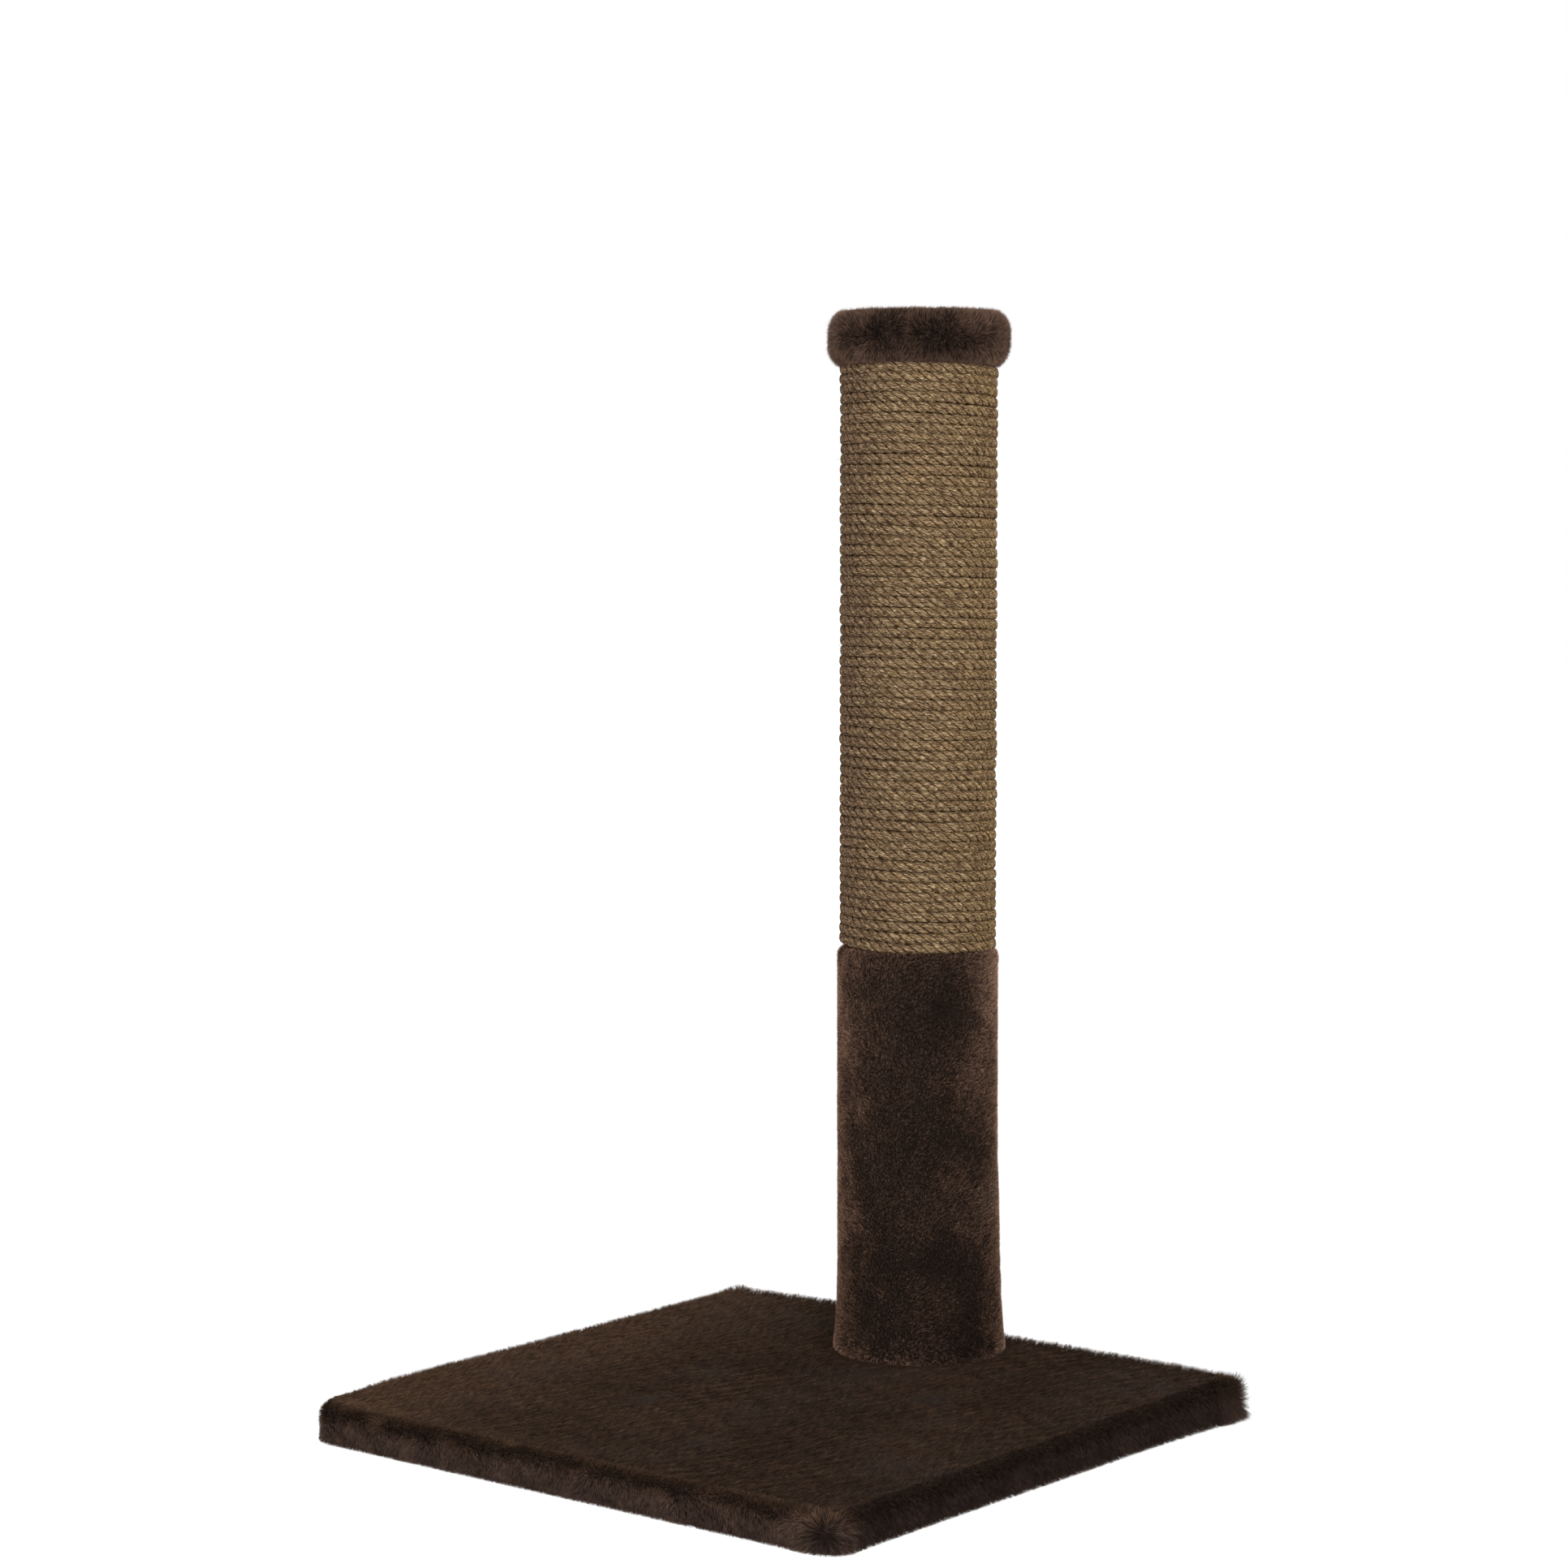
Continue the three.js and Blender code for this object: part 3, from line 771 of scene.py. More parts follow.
def rim_pile(upper, lower, count, stretch, crowding=0.8):
    """Pile on a stretch of the edge and sides. It stands out and hangs a little on the sides, down to the
    floor, stands up along the back edges, and fans out at the corners. The more crowding, the more of it
    grows at the top."""
    rim = Rim(rim_profile())
    number = count // (BASE_CLUMP + 1)
    hem = rim.length - 1.0 * MM
    once_round = 8 * SIDE_CLOTH
    start, end = stretch
    s, t = scatter(number, once_round * (end - start) / hem)
    s, t = hem * s ** crowding, start + (end - start) * t
    of_clump = clumps(number, BASE_CLUMP)
    total = len(of_clump)
    s_root = (s[of_clump] + rng.normal(0, 1.0 * MM, total)).clip(0, hem)
    t_root = t[of_clump] + rng.normal(0, 1.2 * MM, total) / once_round
    root, normal, along, tangent = rim.frame(s_root, t_root)
    x, y, z = root.T
    centre = rim.point(s, t)[of_clump]
    _, outward = square_outline(t_root % 1, SIDE_CLOTH, CORNER_RADII)
    right, back = np.clip(outward, 0, 1).T
    left, front = np.clip(-outward, 0, 1).T
    top = 1 - smooth_step(s_root, 4 * MM, 16 * MM)
    floor = 1 - smooth_step(z, 3 * MM, 12 * MM)
    low_part = 1 - smooth_step(z, 4 * MM, 20 * MM)
    burst, strength, corner = corner_burst(root)
    tuft = strength * (corner == LONG_TUFT)
    burst[:, 2] -= 0.5 * (corner == LONG_TUFT) * np.maximum(burst[:, 2], 0)

    noise = rng.normal(0, 0.15, (total, 3))
    noise += 0.34 * rng.normal(0, 1, (number, 3))[of_clump] * strength[:, None]
    noise *= (1 - 0.7 * floor)[:, None]
    sway = 0.4 * wander(centre, 0.06, 8) + 0.3 * wander(centre, 0.02, 9)
    combed_over = s_root + 4 * MM * wander(centre, 0.045, 10)
    hang = blend(0.30 + 0.5 * right, 0.3 * right + 0.3 * back + 0.1 * left, top)
    hang = blend(hang, 0.85 * smooth_step(combed_over, 0, 26 * MM) - 0.30, front)
    comb = 0.35 * sway + front * (0.40 + 0.35 * sway)
    stand = 0.9 + 0.2 * floor - front * (0.25 + 0.10 * top)
    flow = unit(normal * stand[:, None] + along * hang[:, None] + tangent * comb[:, None])
    fan = strength[:, None]
    lift = blend(flow, unit(normal * 0.5 + burst), fan) + noise
    bend = blend(unit(flow + along * (0.5 * hang)[:, None]), burst * 1.1, fan) + noise * 1.2

    fringe = 6.5 * bell(y, 0.26, 0.08) + 3.5 * smooth_step(y, -0.2, 0.1)
    side_reach = 5.2 + 0.9 * right + 0.4 * back - 2.0 * left + 3.0 * strength + 11 * tuft
    side_reach += fringe * right * low_part
    top_reach = 2.5 + 4.4 * back + 3.2 * left * smooth_step(y, *LEFT_START) + 1.5 * strength
    top_reach = top_reach - 6.0 * back * smooth_step(x, 0.25, 0.30) + 9 * strength * (corner == BACK_LEFT)
    reach = blend(side_reach, top_reach, top)
    spread = 0.14 * (1 - 0.85 * floor) * (1 - 0.6 * back * top)
    by_clump = 0.13 * back * top * rng.normal(0, 1, number)[of_clump]
    limit = np.maximum(reach * (1 + by_clump + spread * rng.normal(0, 1, total)), 1) * MM
    length = np.maximum(reach * (1.25 + 0.4 * front), 5.5) * rng.normal(1, 0.1, total).clip(0.6, 1.4) * MM
    pull = (centre - root) * (0.4 + 0.2 * right + 0.5 * back * top)[:, None]

    # Painted shade darkens the right (+X) side, less in its corner's fan; painted light lightens the left
    # (-X) side, the top of the back edges and a band along the top of the front edge. The corners' fans are
    # lighter too.
    dark = 0.41 * right * (1 - 0.8 * strength) * (0.35 + 0.65 * smooth_step(z, 0, 12 * MM))
    dark = dark * smooth_step(s_root, -4 * MM, 14 * MM)
    over_edge = bell(combed_over, 13 * MM, 8 * MM)
    shade = shades(of_clump, 0.45, 0.11, 0.11) + 0.05 * wander(centre, 0.05, 42)
    shade = shade - dark + 0.13 * strength + (0.02 + 0.32 * over_edge) * front
    shade = shade + 0.20 * left + 0.12 * back * top
    values = (root, normal, lift, bend, length, rng.uniform(0.3, 0.46, total) * MM, pull, shade, limit)
    is_upper = s_root < rng.uniform(8, 20, total) * MM
    upper.add(*(value[is_upper] for value in values))
    lower.add(*(value[~is_upper] for value in values))


# ---- sleeve


SLEEVE_SHOULDER = 7 * MM
SLEEVE_DROP = 4.5 * MM           # how far the shoulder's cloth lies under the rope's lowest turn
VIEW_TURN = CAMERA_AZIMUTH - math.pi / 2
# patches of painted shade and painted light on the post's pile, placed as seen from the camera: degrees
# right of the front, height, half sizes in degrees and metres, and how much lighter the patch is. The tall
# ones at
# -78 and 86 degrees are painted light along the post's left and right edges.
SLEEVE_PATCHES = (
    (18, 0.375, 22, 0.036, -1.4), (-12, 0.370, 7, 0.032, -0.5), (6, 0.257, 32, 0.045, -0.8),
    (48, 0.228, 16, 0.025, -0.9), (13, 0.134, 22, 0.020, -1.5), (-30, 0.128, 15, 0.020, -0.5),
    (37, 0.095, 12, 0.036, -0.9), (29, 0.055, 24, 0.028, -1.2), (-1, 0.166, 15, 0.014, 0.6),
    (27, 0.215, 10, 0.016, 0.4), (42, 0.320, 15, 0.040, 0.5), (-8, 0.048, 16, 0.008, 0.8),
    (-45, 0.300, 20, 0.110, 0.5), (-40, 0.420, 34, 0.014, 0.8), (62, 0.395, 22, 0.036, 1.3),
    (-78, 0.240, 22, 0.300, 1.5), (86, 0.240, 16, 0.300, 1.0), (130, 0.300, 24, 0.050, -0.7),
    (170, 0.140, 28, 0.040, -0.8), (-125, 0.220, 22, 0.050, -0.7), (-150, 0.360, 18, 0.030, 0.5),
)


def patches_on_post(turn, z, patches):
    value = np.zeros_like(z)
    for degrees, height, wide, tall, gain in patches:
        off = apart(np.degrees(turn - VIEW_TURN), degrees, 360)
        value += gain * np.exp(-(off / wide) ** 2 - ((z - height) / tall) ** 2)
    return value


def sleeve_profile():
    """From the foot up to the shoulder and in to the tube."""
    top = sleeve_high.z
    flare = ((4.4, 52), (2.6, 80), (1.4, 120), (0.8, 180), (0, 260))   # millimetres out, and up
    up = [(SLEEVE_CLOTH + 5.0 * MM, sleeve_low.z)]
    up += [(SLEEVE_CLOTH + out * MM, height * MM) for out, height in flare]
    up.append((SLEEVE_CLOTH, top - 16 * MM))
    middle = top - SLEEVE_DROP - SLEEVE_SHOULDER
    shoulder = arc((SLEEVE_CLOTH - SLEEVE_SHOULDER, middle), SLEEVE_SHOULDER, 0, 90, 7)
    return up + shoulder + [(TUBE_RADIUS + 0.6 * MM, top - SLEEVE_DROP)]


def turned_ground(name, outer, inner, material, node):
    """A closed shell of cloth: the outer profile, and a way back inside it."""
    facets = 120
    turn = np.arange(facets) * 2 * math.pi / facets
    s = np.union1d(outer.reach, np.linspace(0, outer.length, 50))
    rings = [outer.point(np.full(facets, value), turn) for value in s]
    for r, z in inner:
        rings.append(np.stack([r * np.cos(turn), POST_Y + r * np.sin(turn), np.full(facets, z)], -1))
    return dress(grid_mesh(name, np.array(rings)[::-1], True), material, "plush", node)


def sleeve_skin():
    return Turned(sleeve_profile(), 2.4 * MM)


def sleeve_ground(material):
    inner = [(TUBE_RADIUS + SNUG, sleeve_high.z - SLEEVE_DROP), (TUBE_RADIUS + SNUG, sleeve_low.z)]
    return turned_ground("sleeve_cloth", sleeve_skin(), inner, material, "post_plush_sleeve")


def sleeve_pile(pile, count):
    """Short dense pile that leans up and round, ruffled in patches, and stands up along the shoulder."""
    skin = sleeve_skin()
    per_clump = 2                 # besides its first
    number = count // (per_clump + 1)
    s, turn = scatter(number)
    s, turn = s * skin.length, turn * 2 * math.pi
    of_clump = clumps(number, per_clump)
    total = len(of_clump)
    s_root = (s[of_clump] + rng.normal(0, 0.35 * MM, total)).clip(0, skin.length - 0.2 * MM)
    turn_root = turn[of_clump] + rng.normal(0, 0.3 * MM, total) / SLEEVE_CLOTH
    root, normal, along, tangent = skin.frame(s_root, turn_root)
    centre = skin.point(s, turn)[of_clump]
    z = root[:, 2]
    shoulder = smooth_step(z, sleeve_high.z - 22 * MM, sleeve_high.z - 2 * MM)[:, None]
    foot = (1 - smooth_step(z, sleeve_low.z, sleeve_low.z + 22 * MM))[:, None]
    sway = (0.35 * wander(centre, 0.07, 12) + 0.25 * wander(centre, 0.02, 13))[:, None]
    from_seam = apart(turn_root, math.pi / 2, 2 * math.pi)
    seam = (bell(from_seam * SLEEVE_CLOTH, 0, 5 * MM) * np.sign(from_seam))[:, None]
    noise = rng.normal(0, 0.08, (total, 3)) + rng.normal(0, 0.22, (number, 3))[of_clump]
    patch = patches_on_post(turn_root, z, SLEEVE_PATCHES)
    lean = UP * (0.75 - 1.25 * foot) * (1 - shoulder) + tangent * (0.35 + 0.9 * sway + seam)
    lift = normal + lean * 0.8 + noise
    bend = normal * (0.6 - 0.1 * shoulder) + lean * 1.1 + noise * 1.4
    length = per_strand(4.7, 0.5, total, 2) * (1 + 0.4 * foot[:, 0])
    limit = per_strand(4.0, 0.3, total, 2) * (1 - 0.3 * shoulder[:, 0]) + 0.6 * MM * foot[:, 0]
    limit += 1.6 * MM * bell(z - sleeve_high.z, -13 * MM, 9 * MM)
    pull = (centre - root) * 0.5
    # the post's patches of painted shade and painted light, a lighter foot, and painted light on the
    # shoulder's hair
    shade = shades(of_clump, 0.27, 0.25, 0.14) + 0.30 * patch + 0.04 * wander(centre, 0.03, 15)
    fringe = smooth_step(z, sleeve_high.z - 16 * MM, sleeve_high.z - 3 * MM)
    shade = shade + foot[:, 0] * (0.08 + 0.10 * wander(centre, 0.012, 16)) + 0.12 * fringe
    high = sleeve_high.z + 0.9 * MM + rng.normal(0, 0.6, total) * MM
    pile.add(root, normal, lift, bend, length, rng.uniform(0.24, 0.35, total) * MM, pull, shade, limit,
             FLOOR_GAP, high)


# ---- cap


# patches of painted shade and painted light on the cap's roll, placed as seen from the camera: degrees
# right of the front, height, half sizes in degrees and metres, and how much lighter the patch is; painted
# shade in the middle of the front, painted light towards its sides
CAP_PATCHES = ((-20, 1.012, 10, 0.012, -0.8), (23, 1.012, 10, 0.012, -1.0), (-2, 1.012, 9, 0.012, -0.8),
               (45, 1.02, 18, 0.014, 0.3), (-50, 1.016, 20, 0.014, 0.3), (140, 1.018, 25, 0.009, -0.7),
               (-120, 1.014, 20, 0.009, -0.7))


def cap_profile():
    """From the post under the rim, round the roll and over the top to the middle."""
    lower, upper = 15.5 * MM, 16 * MM
    roll = arc((CAP_CLOTH - lower, CAP_LIP + lower), lower, -80, 0, 7)
    roll += arc((CAP_CLOTH - upper, CAP_TOP_CLOTH - upper), upper, 0, 90, 8)
    return [(TUBE_RADIUS + 1 * MM, CAP_LIP)] + roll + [(0, CAP_TOP_CLOTH + 0.5 * MM)]


def cap_ground(material):
    board_bottom, board_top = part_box("cap_board")
    room = board_top.x + SNUG
    above, below = board_top.z + SNUG, board_bottom.z - SNUG
    post = TUBE_RADIUS + SNUG
    inner = [(0, above), (room, above), (room, below), (post, below), (post, CAP_LIP)]
    return turned_ground("cap_cloth", Turned(cap_profile()), inner, material, "cap_plush_cover")


def cap_pile(pile, count):
    """Long pile that parts along the middle of the roll: up and out above it, down and out below."""
    skin = Turned(cap_profile())
    s, turn = scatter(count // 3, 2 * math.pi * CAP_CLOTH / skin.length)
    s, turn = s * skin.length, turn * 2 * math.pi
    keep = rng.uniform(0, CAP_CLOTH, len(s)) < skin.at(s)[0]
    s, turn = s[keep], turn[keep]
    of_clump = clumps(len(s), 4)
    total = len(of_clump)
    s_root = (s[of_clump] + rng.normal(0, 1.3 * MM, total)).clip(0, skin.length)
    radius = np.maximum(skin.at(s_root)[0], 8 * MM)
    turn_root = turn[of_clump] + rng.normal(0, 1.2 * MM, total) / radius
    root, normal, along, tangent = skin.frame(s_root, turn_root)
    centre = skin.point(s, turn)[of_clump]
    z = root[:, 2]
    parting = (CAP_LIP + CAP_TOP_CLOTH) / 2 - 1 * MM + 5 * MM * wander(centre, 0.05, 21)
    above = np.tanh((z - parting) / (13 * MM))[:, None]
    on_top = smooth_step(z, CAP_TOP_CLOTH - 4 * MM, CAP_TOP_CLOTH)[:, None]
    sway = (0.5 * wander(centre, 0.05, 22) + 0.3 * wander(centre, 0.02, 23))[:, None]
    noise = rng.normal(0, 0.17, (total, 3))
    side_flow = normal * 0.75 + UP * above * 0.8
    aside = 1 - np.cos(turn_root - VIEW_TURN) ** 2
    outer = smooth_step(radius, 12 * MM, 70 * MM)[:, None]
    top_flow = blend(LAY, facing(turn_root), outer) * 0.95 + UP * (0.30 + 0.15 * aside)[:, None]
    flow = blend(side_flow, top_flow, on_top) + tangent * 0.6 * sway
    lift = flow + normal * 0.3 + noise
    bend = flow + UP * above * 0.35 * (1 - on_top) + noise * 1.3
    length = per_strand(11.5, 1.6, total, 5) * (1 - 0.2 * on_top[:, 0])
    limit = per_strand(9.0, 0.8, total, 4)
    limit += (per_strand(3.6, 0.4, total, 2) + 1.6 * MM * aside - limit) * on_top[:, 0]
    patch = patches_on_post(turn_root, z, CAP_PATCHES)
    # painted light: lighter along the top of the roll, and at its bottom towards its sides as seen from the
    # camera
    edge = np.abs(above[:, 0]) ** 3 * np.where(z > parting, 1, 2 * aside.clip(0, 0.5))
    shade = shades(of_clump, 0.40, 0.10, 0.15) + 0.15 * patch * (1 - on_top[:, 0]) + 0.17 * edge
    high = cap_high.z + (0.8 + 2.2 * aside + rng.normal(0, 0.4, total)) * MM
    low = cap_low.z - 2.6 * MM + rng.normal(0, 0.9, total) * MM
    pile.add(root, normal, lift, bend, length, rng.uniform(0.32, 0.5, total) * MM, (centre - root) * 0.5,
             shade, limit, low, high)


# ---- sisal rope


ROPE_SECTION = 27
SECTIONS_PER_LAY = 15
ROPE_PIECES = 4
ROPE_FULLNESS = 2.8
YARN_SLANT = 0.75             # how far the fibres turn back from the strand's lay to the rope's own line
MAP_ROWS = 38                 # rows that the rope's texture is folded into
ROPE_BOTTOM = rope_low.z - 1.2 * MM
ROPE_TOP = rope_high.z + 0.5 * MM


def rope_line(t):
    """The rope's middle line and its outward, onward and upright directions; t goes from 0 to 1."""
    turn = math.pi / 2 - 2 * math.pi * ROPE_TURNS * t
    slack = np.stack([np.cos(turn), np.sin(turn), t * ROPE_TURNS * 0.35], -1)
    radius = ROPE_RADIUS + 0.25 * MM * wander(slack, 0.9, 31)
    z = ROPE_BOTTOM + (ROPE_TOP - ROPE_BOTTOM) * t + 0.5 * MM * wander(slack, 1.5, 32)
    outward = facing(turn)
    place = outward * radius[:, None] + np.stack([np.zeros_like(turn), np.full_like(turn, POST_Y), z], -1)
    climb = np.full_like(turn, (ROPE_TOP - ROPE_BOTTOM) / ROPE_TURNS / (2 * math.pi))
    onward = unit(np.stack([ROPE_RADIUS * np.sin(turn), -ROPE_RADIUS * np.cos(turn), climb], -1))
    return place, outward, onward, np.cross(onward, outward)


def pressed(across, height):
    """A point of the rope's section once the turns press on each other: fuller at its corners, flat where
    they touch."""
    reach = np.hypot(across, height)
    cos, sin = np.abs(across / reach), np.abs(height / reach)
    fuller = (cos ** ROPE_FULLNESS + sin ** ROPE_FULLNESS) ** (-1 / ROPE_FULLNESS)
    room = 0.6 * ROPE_PITCH
    height = height * fuller
    return across * fuller, height / (1 + (np.abs(height) / room) ** 12) ** (1 / 12)


def sisal_rope(material):
    """Three strands twisted together: a section of three lobes that turns as it follows the winding."""
    length = math.hypot(2 * math.pi * ROPE_RADIUS * ROPE_TURNS, ROPE_TOP - ROPE_BOTTOM)
    total = int(length / ROPE_LAY * SECTIONS_PER_LAY)
    lobe = math.pi / 3 + np.arange(ROPE_SECTION) * 2 * math.pi / ROPE_SECTION
    off = apart(lobe, 0, 2 * math.pi / 3)
    reach = ROPE_STRAND_OFFSET * np.cos(off) + np.sqrt(
        ROPE_STRAND_RADIUS ** 2 - (ROPE_STRAND_OFFSET * np.sin(off)) ** 2)
    crest = (reach - reach.min()) / np.ptp(reach)
    around = np.stack([0 * lobe, 2.5 * np.cos(lobe), 2.5 * np.sin(lobe)], -1)
    bounds = np.linspace(0, total, ROPE_PIECES + 1).astype(int)
    for number, (first, last) in enumerate(zip(bounds[:-1], bounds[1:]), 1):
        step = np.arange(first, last + 1)
        place, outward, _, upright = rope_line(step / total)
        way = step / SECTIONS_PER_LAY
        uneven = 0.35 * wander(np.stack([way, np.ones(len(way))], -1), 9.0, 34)
        angle = (2 * math.pi / SECTIONS_PER_LAY * step + uneven)[:, None] + lobe
        ripple = wander(around + way[:, None, None] * (1, 0, 0), 1.1, 33)
        size = reach * (1 + 0.055 * ripple)
        across, height = pressed(size * np.cos(angle), size * np.sin(angle))
        rings = place[:, None] + across[..., None] * outward[:, None] + height[..., None] * upright[:, None]
        rope_piece(f"sisal_rope_{number}", rings, crest, step, material)


def rope_piece(name, rings, crest, step, material):
    count = len(rings)
    index = np.arange(count * ROPE_SECTION).reshape(count, ROPE_SECTION)
    nearer, further = index[:-1], index[1:]
    quads = np.stack([nearer, np.roll(nearer, -1, 1), np.roll(further, -1, 1), further], -1).reshape(-1)
    loops = np.concatenate([quads, index[0][::-1], index[-1]])
    totals = np.concatenate([np.full(len(quads) // 4, 4), [ROPE_SECTION, ROPE_SECTION]])
    piece = new_mesh(name, rings.reshape(-1, 3), loops, totals)
    turn = np.degrees(np.arctan2(rings[..., 1] - POST_Y, rings[..., 0]) - VIEW_TURN).ravel()
    # Painted shade: darker in the grooves between the strands, and on the rope's left and right sides as
    # seen from the camera
    add_values(piece.data, groove=np.tile(crest, count), soiled=bell(apart(turn, -80, 360), 0, 46),
               yellowed=bell(apart(turn, 80, 360), 0, 50))
    add_rope_maps(piece.data, step)
    dress(piece, material, "sisal", "sisal_rope")


def add_rope_maps(mesh, step):
    """One map along the rope's whole length for its fibres, and one folded into rows for its texture."""
    u = np.arange(ROPE_SECTION) / ROPE_SECTION
    corner_u = np.stack([u, u + 1 / ROPE_SECTION, u + 1 / ROPE_SECTION, u], -1)
    v = step * (ROPE_LAY / SECTIONS_PER_LAY)
    along = np.stack([v[:-1], v[:-1], v[1:], v[1:]], -1)[:, None].repeat(ROPE_SECTION, 1)
    around = corner_u + YARN_SLANT * along / ROPE_LAY
    ends = np.zeros((2 * ROPE_SECTION, 2))
    add_map(mesh, "Along", np.concatenate([np.stack([around * 0.03, along], -1).reshape(-1, 2), ends]))
    count = len(step) - 1
    per_row = math.ceil(count / MAP_ROWS)
    row, place = np.divmod(np.arange(count)[:, None, None], per_row)
    left, right = (place + 0.02) / per_row, (place + 0.98) / per_row
    fold_u = np.concatenate([left, left, right, right], -1).repeat(ROPE_SECTION, 1)
    fold_v = (row + 0.04 + 0.92 * corner_u) / MAP_ROWS
    add_map(mesh, "OFBake", np.concatenate([np.stack([fold_u, fold_v], -1).reshape(-1, 2), ends]))


FIBRE_OUT, FIBRE_UP = 4.7, 4.2          # millimetres from the rope's middle line to a fibre's root


def rope_fibres(pile, count, mean_length, proud, width):
    """Loose ends of sisal: most lie on the rope, some stand off it."""
    t = rng.uniform(0.002, 0.998, count)
    place, outward, onward, upright = rope_line(t)
    lean = np.radians(rng.uniform(-80, 80, count))[:, None]
    away = outward * np.cos(lean) + upright * np.sin(lean)
    root = place + outward * np.cos(lean) * FIBRE_OUT * MM + upright * np.sin(lean) * FIBRE_UP * MM
    way = onward * rng.choice([-1, 1], (count, 1))
    skew = upright * rng.normal(-0.1, 0.22, (count, 1)) * np.sign(dot(way, onward))[:, None]
    lift = way + skew + away * rng.uniform(0.05, 0.35, (count, 1)) * proud
    bend = way + skew * 1.5 + away * rng.uniform(-0.45, 0.4, (count, 1)) * proud
    bend = bend + rng.normal(0, 0.2, (count, 3))
    length = rng.gamma(4.0, mean_length / 4, count).clip(1.5, 18) * MM
    pile.add(root, away, lift, bend, length, rng.uniform(*width, count) * MM, np.zeros((count, 3)),
             rng.uniform(0, 1, count), np.full(count, 6 * MM))


# ---- underside


STAPLE_SPACING = 48 * MM
STAPLE_WIRE = 0.6 * MM
STAPLE_CROWN = 10 * MM
STAPLE_INSET = 12 * MM


def hem_staples(material):
    """Staples that hold the folded margin to the board, their crowns pressed into the cloth."""
    line = FOLD_INNER_HALF + STAPLE_INSET
    count = int(2 * line / STAPLE_SPACING)
    vertices = []
    for side in range(4):
        cos, sin = round(math.cos(side * math.pi / 2)), round(math.sin(side * math.pi / 2))
        for along in (np.arange(count) - (count - 1) / 2) * STAPLE_SPACING:
            for x in (line - STAPLE_WIRE, line + STAPLE_WIRE):
                for y in (along - STAPLE_CROWN / 2, along + STAPLE_CROWN / 2):
                    for z in (0.1 * MM, 0.1 * MM + STAPLE_WIRE):
                        vertices.append((cos * x - sin * y, sin * x + cos * y, z))
    cube = np.array([0, 1, 3, 2, 4, 6, 7, 5, 0, 4, 5, 1, 2, 3, 7, 6, 0, 2, 6, 4, 1, 5, 7, 3])
    loops = (np.arange(4 * count)[:, None] * 8 + cube).ravel()
    piece = new_mesh("hem_staples", np.array(vertices), loops, np.full(len(loops) // 4, 4), False)
    return dress(piece, material, "zinc_steel")


# ---- stage


def make_floor():
    """A white floor. The camera sees mostly its glow, and it still takes a little shadow."""
    bpy.ops.mesh.primitive_plane_add(size=40)
    floor = bpy.context.object
    floor.name = "floor"
    m = Nodes("floor", Roughness=0.9, Base_Color=(0.92, 0.92, 0.92, 1), Specular_IOR_Level=0.0)
    rays = m.add("ShaderNodeLightPath")
    share = m.math("MULTIPLY", rays.outputs["Is Camera Ray"], 0.8)
    glow = m.white(m.add("ShaderNodeEmission"), 1.2)
    m.show(share, m.shader.outputs["BSDF"], glow, "Material Output")
    floor.data.materials.append(m.material)


def make_world():
    """White all round, brighter where it is seen or mirrored than where it lights."""
    world = bpy.data.worlds.new("studio")
    bpy.context.scene.world = world
    world.use_nodes = True
    w = Tree(world.node_tree)
    rays = w.add("ShaderNodeLightPath")
    seen = w.math("MAXIMUM", rays.outputs["Is Camera Ray"], rays.outputs["Is Glossy Ray"])
    lighting = w.white(w.tree.nodes["Background"], 0.55)
    backdrop = w.white(w.add("ShaderNodeBackground"), 1.0)
    w.show(seen, lighting, backdrop, "World Output")


LAMP_TARGET = (0, 0.1, 0.5)
# name, place, side in metres and watts
LAMPS = (("key", (2.35, -2.55, 2.4), 1.8, 78), ("right_rim", (1.6, 3.2, 1.5), 1.4, 32),
         ("left_rim", (-3.0, 0.4, 1.4), 1.4, 13))


def make_lamp(name, place, size, power):
    data = bpy.data.lights.new(name, "AREA")
    data.shape = "SQUARE"
    data.size = size
    data.energy = power
    lamp = bpy.data.objects.new(name, data)
    bpy.context.scene.collection.objects.link(lamp)
    x, y, z = np.array(LAMP_TARGET) - np.array(place)
    lamp.location = place
    lamp.rotation_euler = (math.atan2(math.hypot(x, y), -z), 0, math.atan2(y, x) - math.pi / 2)
    lamp.visible_camera = False


# ---- build


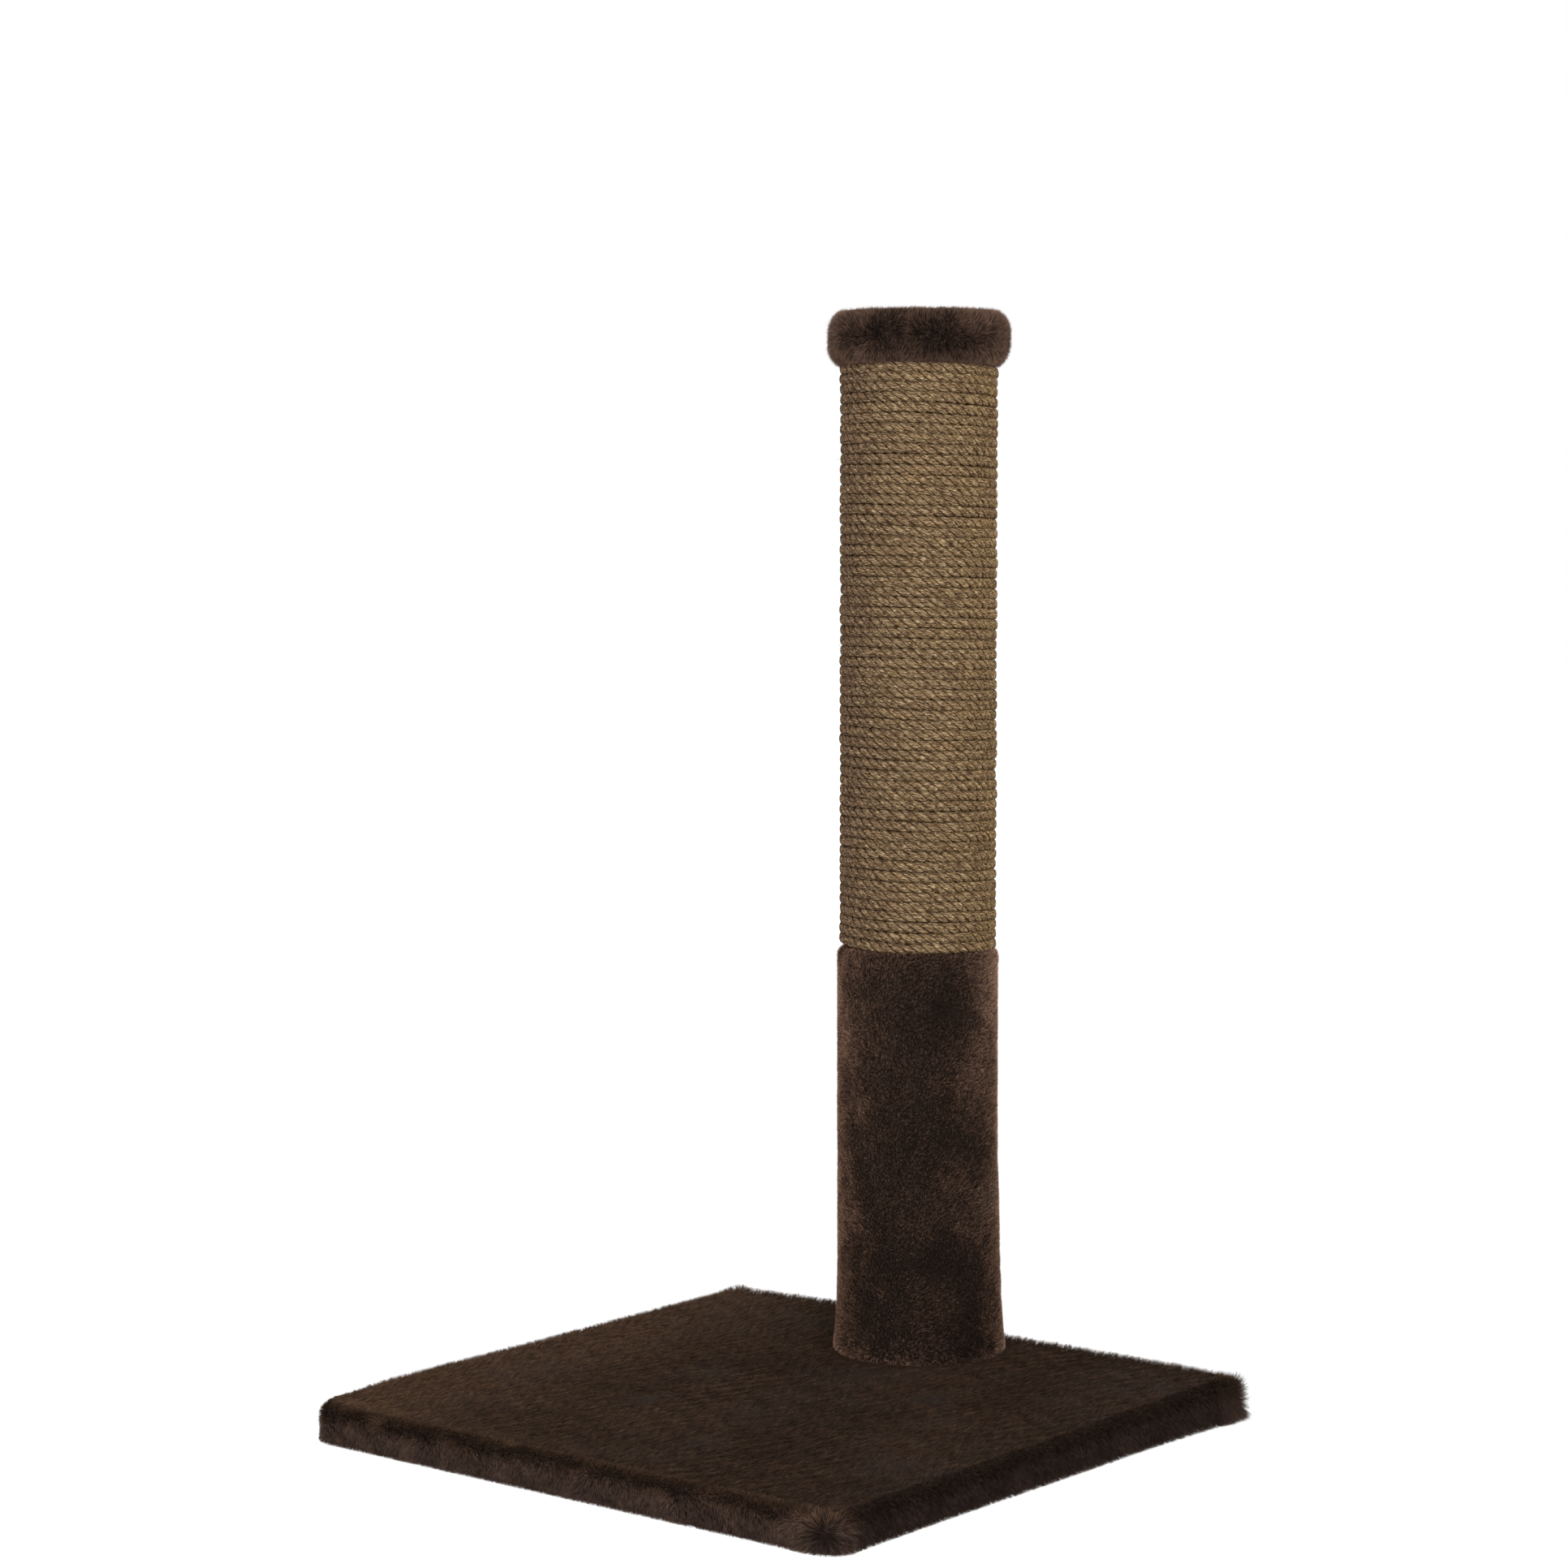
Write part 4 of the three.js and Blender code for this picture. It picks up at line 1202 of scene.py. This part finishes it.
bpy.context.scene.view_settings.view_transform = "Standard"
make_camera()
make_floor()
make_world()
for lamp in LAMPS:
    make_lamp(*lamp)

cloth = cloth_material()
base_hair = pile_material("base_pile", srgb(26, 18, 13), srgb(60, 44, 33), srgb(100, 77, 59), 0.04)
# the sides' hair: the top's cloth in a greyer, lighter tone, which is painted light on the sides
edge_hair = pile_material("edge_pile", srgb(24, 17, 14), srgb(62, 48, 42), srgb(116, 94, 82), 0.06)
sleeve_hair = pile_material("sleeve_pile", srgb(14, 9, 7), srgb(70, 52, 42), srgb(206, 164, 138), 0.32,
                            darkest=0.15)
cap_hair = pile_material("cap_pile", srgb(18, 12, 10), srgb(58, 43, 36), srgb(152, 122, 104), 0.12)

cover = base_ground(cloth)
upper, lower = Pile(**SHORT_HAIR), Pile(**LONG_HAIR)
deck_pile(upper, DECK_HAIRS)
rim_pile(upper, lower, RIM_HAIRS, WHOLE_EDGE)
rim_pile(upper, lower, RIM_FRONT_HAIRS, FRONT_EDGE, crowding=1.5)
rim_pile(upper, lower, RIM_CORNER_HAIRS, BACK_CORNER)
top_hair = upper.grow("base_top_pile", base_hair, "plush")
side_hair = lower.grow("base_side_pile", edge_hair, "plush")

sleeve = sleeve_ground(cloth)
pile = Pile(**SHORT_HAIR)
sleeve_pile(pile, SLEEVE_HAIRS)
post_hair = pile.grow("sleeve_pile", sleeve_hair, "plush")

cap = cap_ground(cloth)
pile = Pile(**LONG_HAIR)
cap_pile(pile, CAP_HAIRS)
roll_hair = pile.grow("cap_pile", cap_hair, "plush")

sisal_rope(sisal_material())
pile = Pile(**LONG_HAIR)
rope_fibres(pile, ROPE_FIBRES, 5.0, 0.45, (0.16, 0.34))
rope_fibres(pile, LOOSE_FIBRES, 8, 1.6, (0.12, 0.2))
pile.grow("sisal_fibres", fibre_material(), "sisal")

zinc = zinc_material()
hem_staples(zinc)
finishes = {"particle_board": particle_board_material(), "cardboard": cardboard_material(),
            "zinc_steel": zinc}
for entry in frame["record"]["subparts"]:
    if entry["material_slot"] in finishes:
        mesh = frame["nodes"][entry["node"]].data
        mesh.materials.clear()
        mesh.materials.append(finishes[entry["material_slot"]])
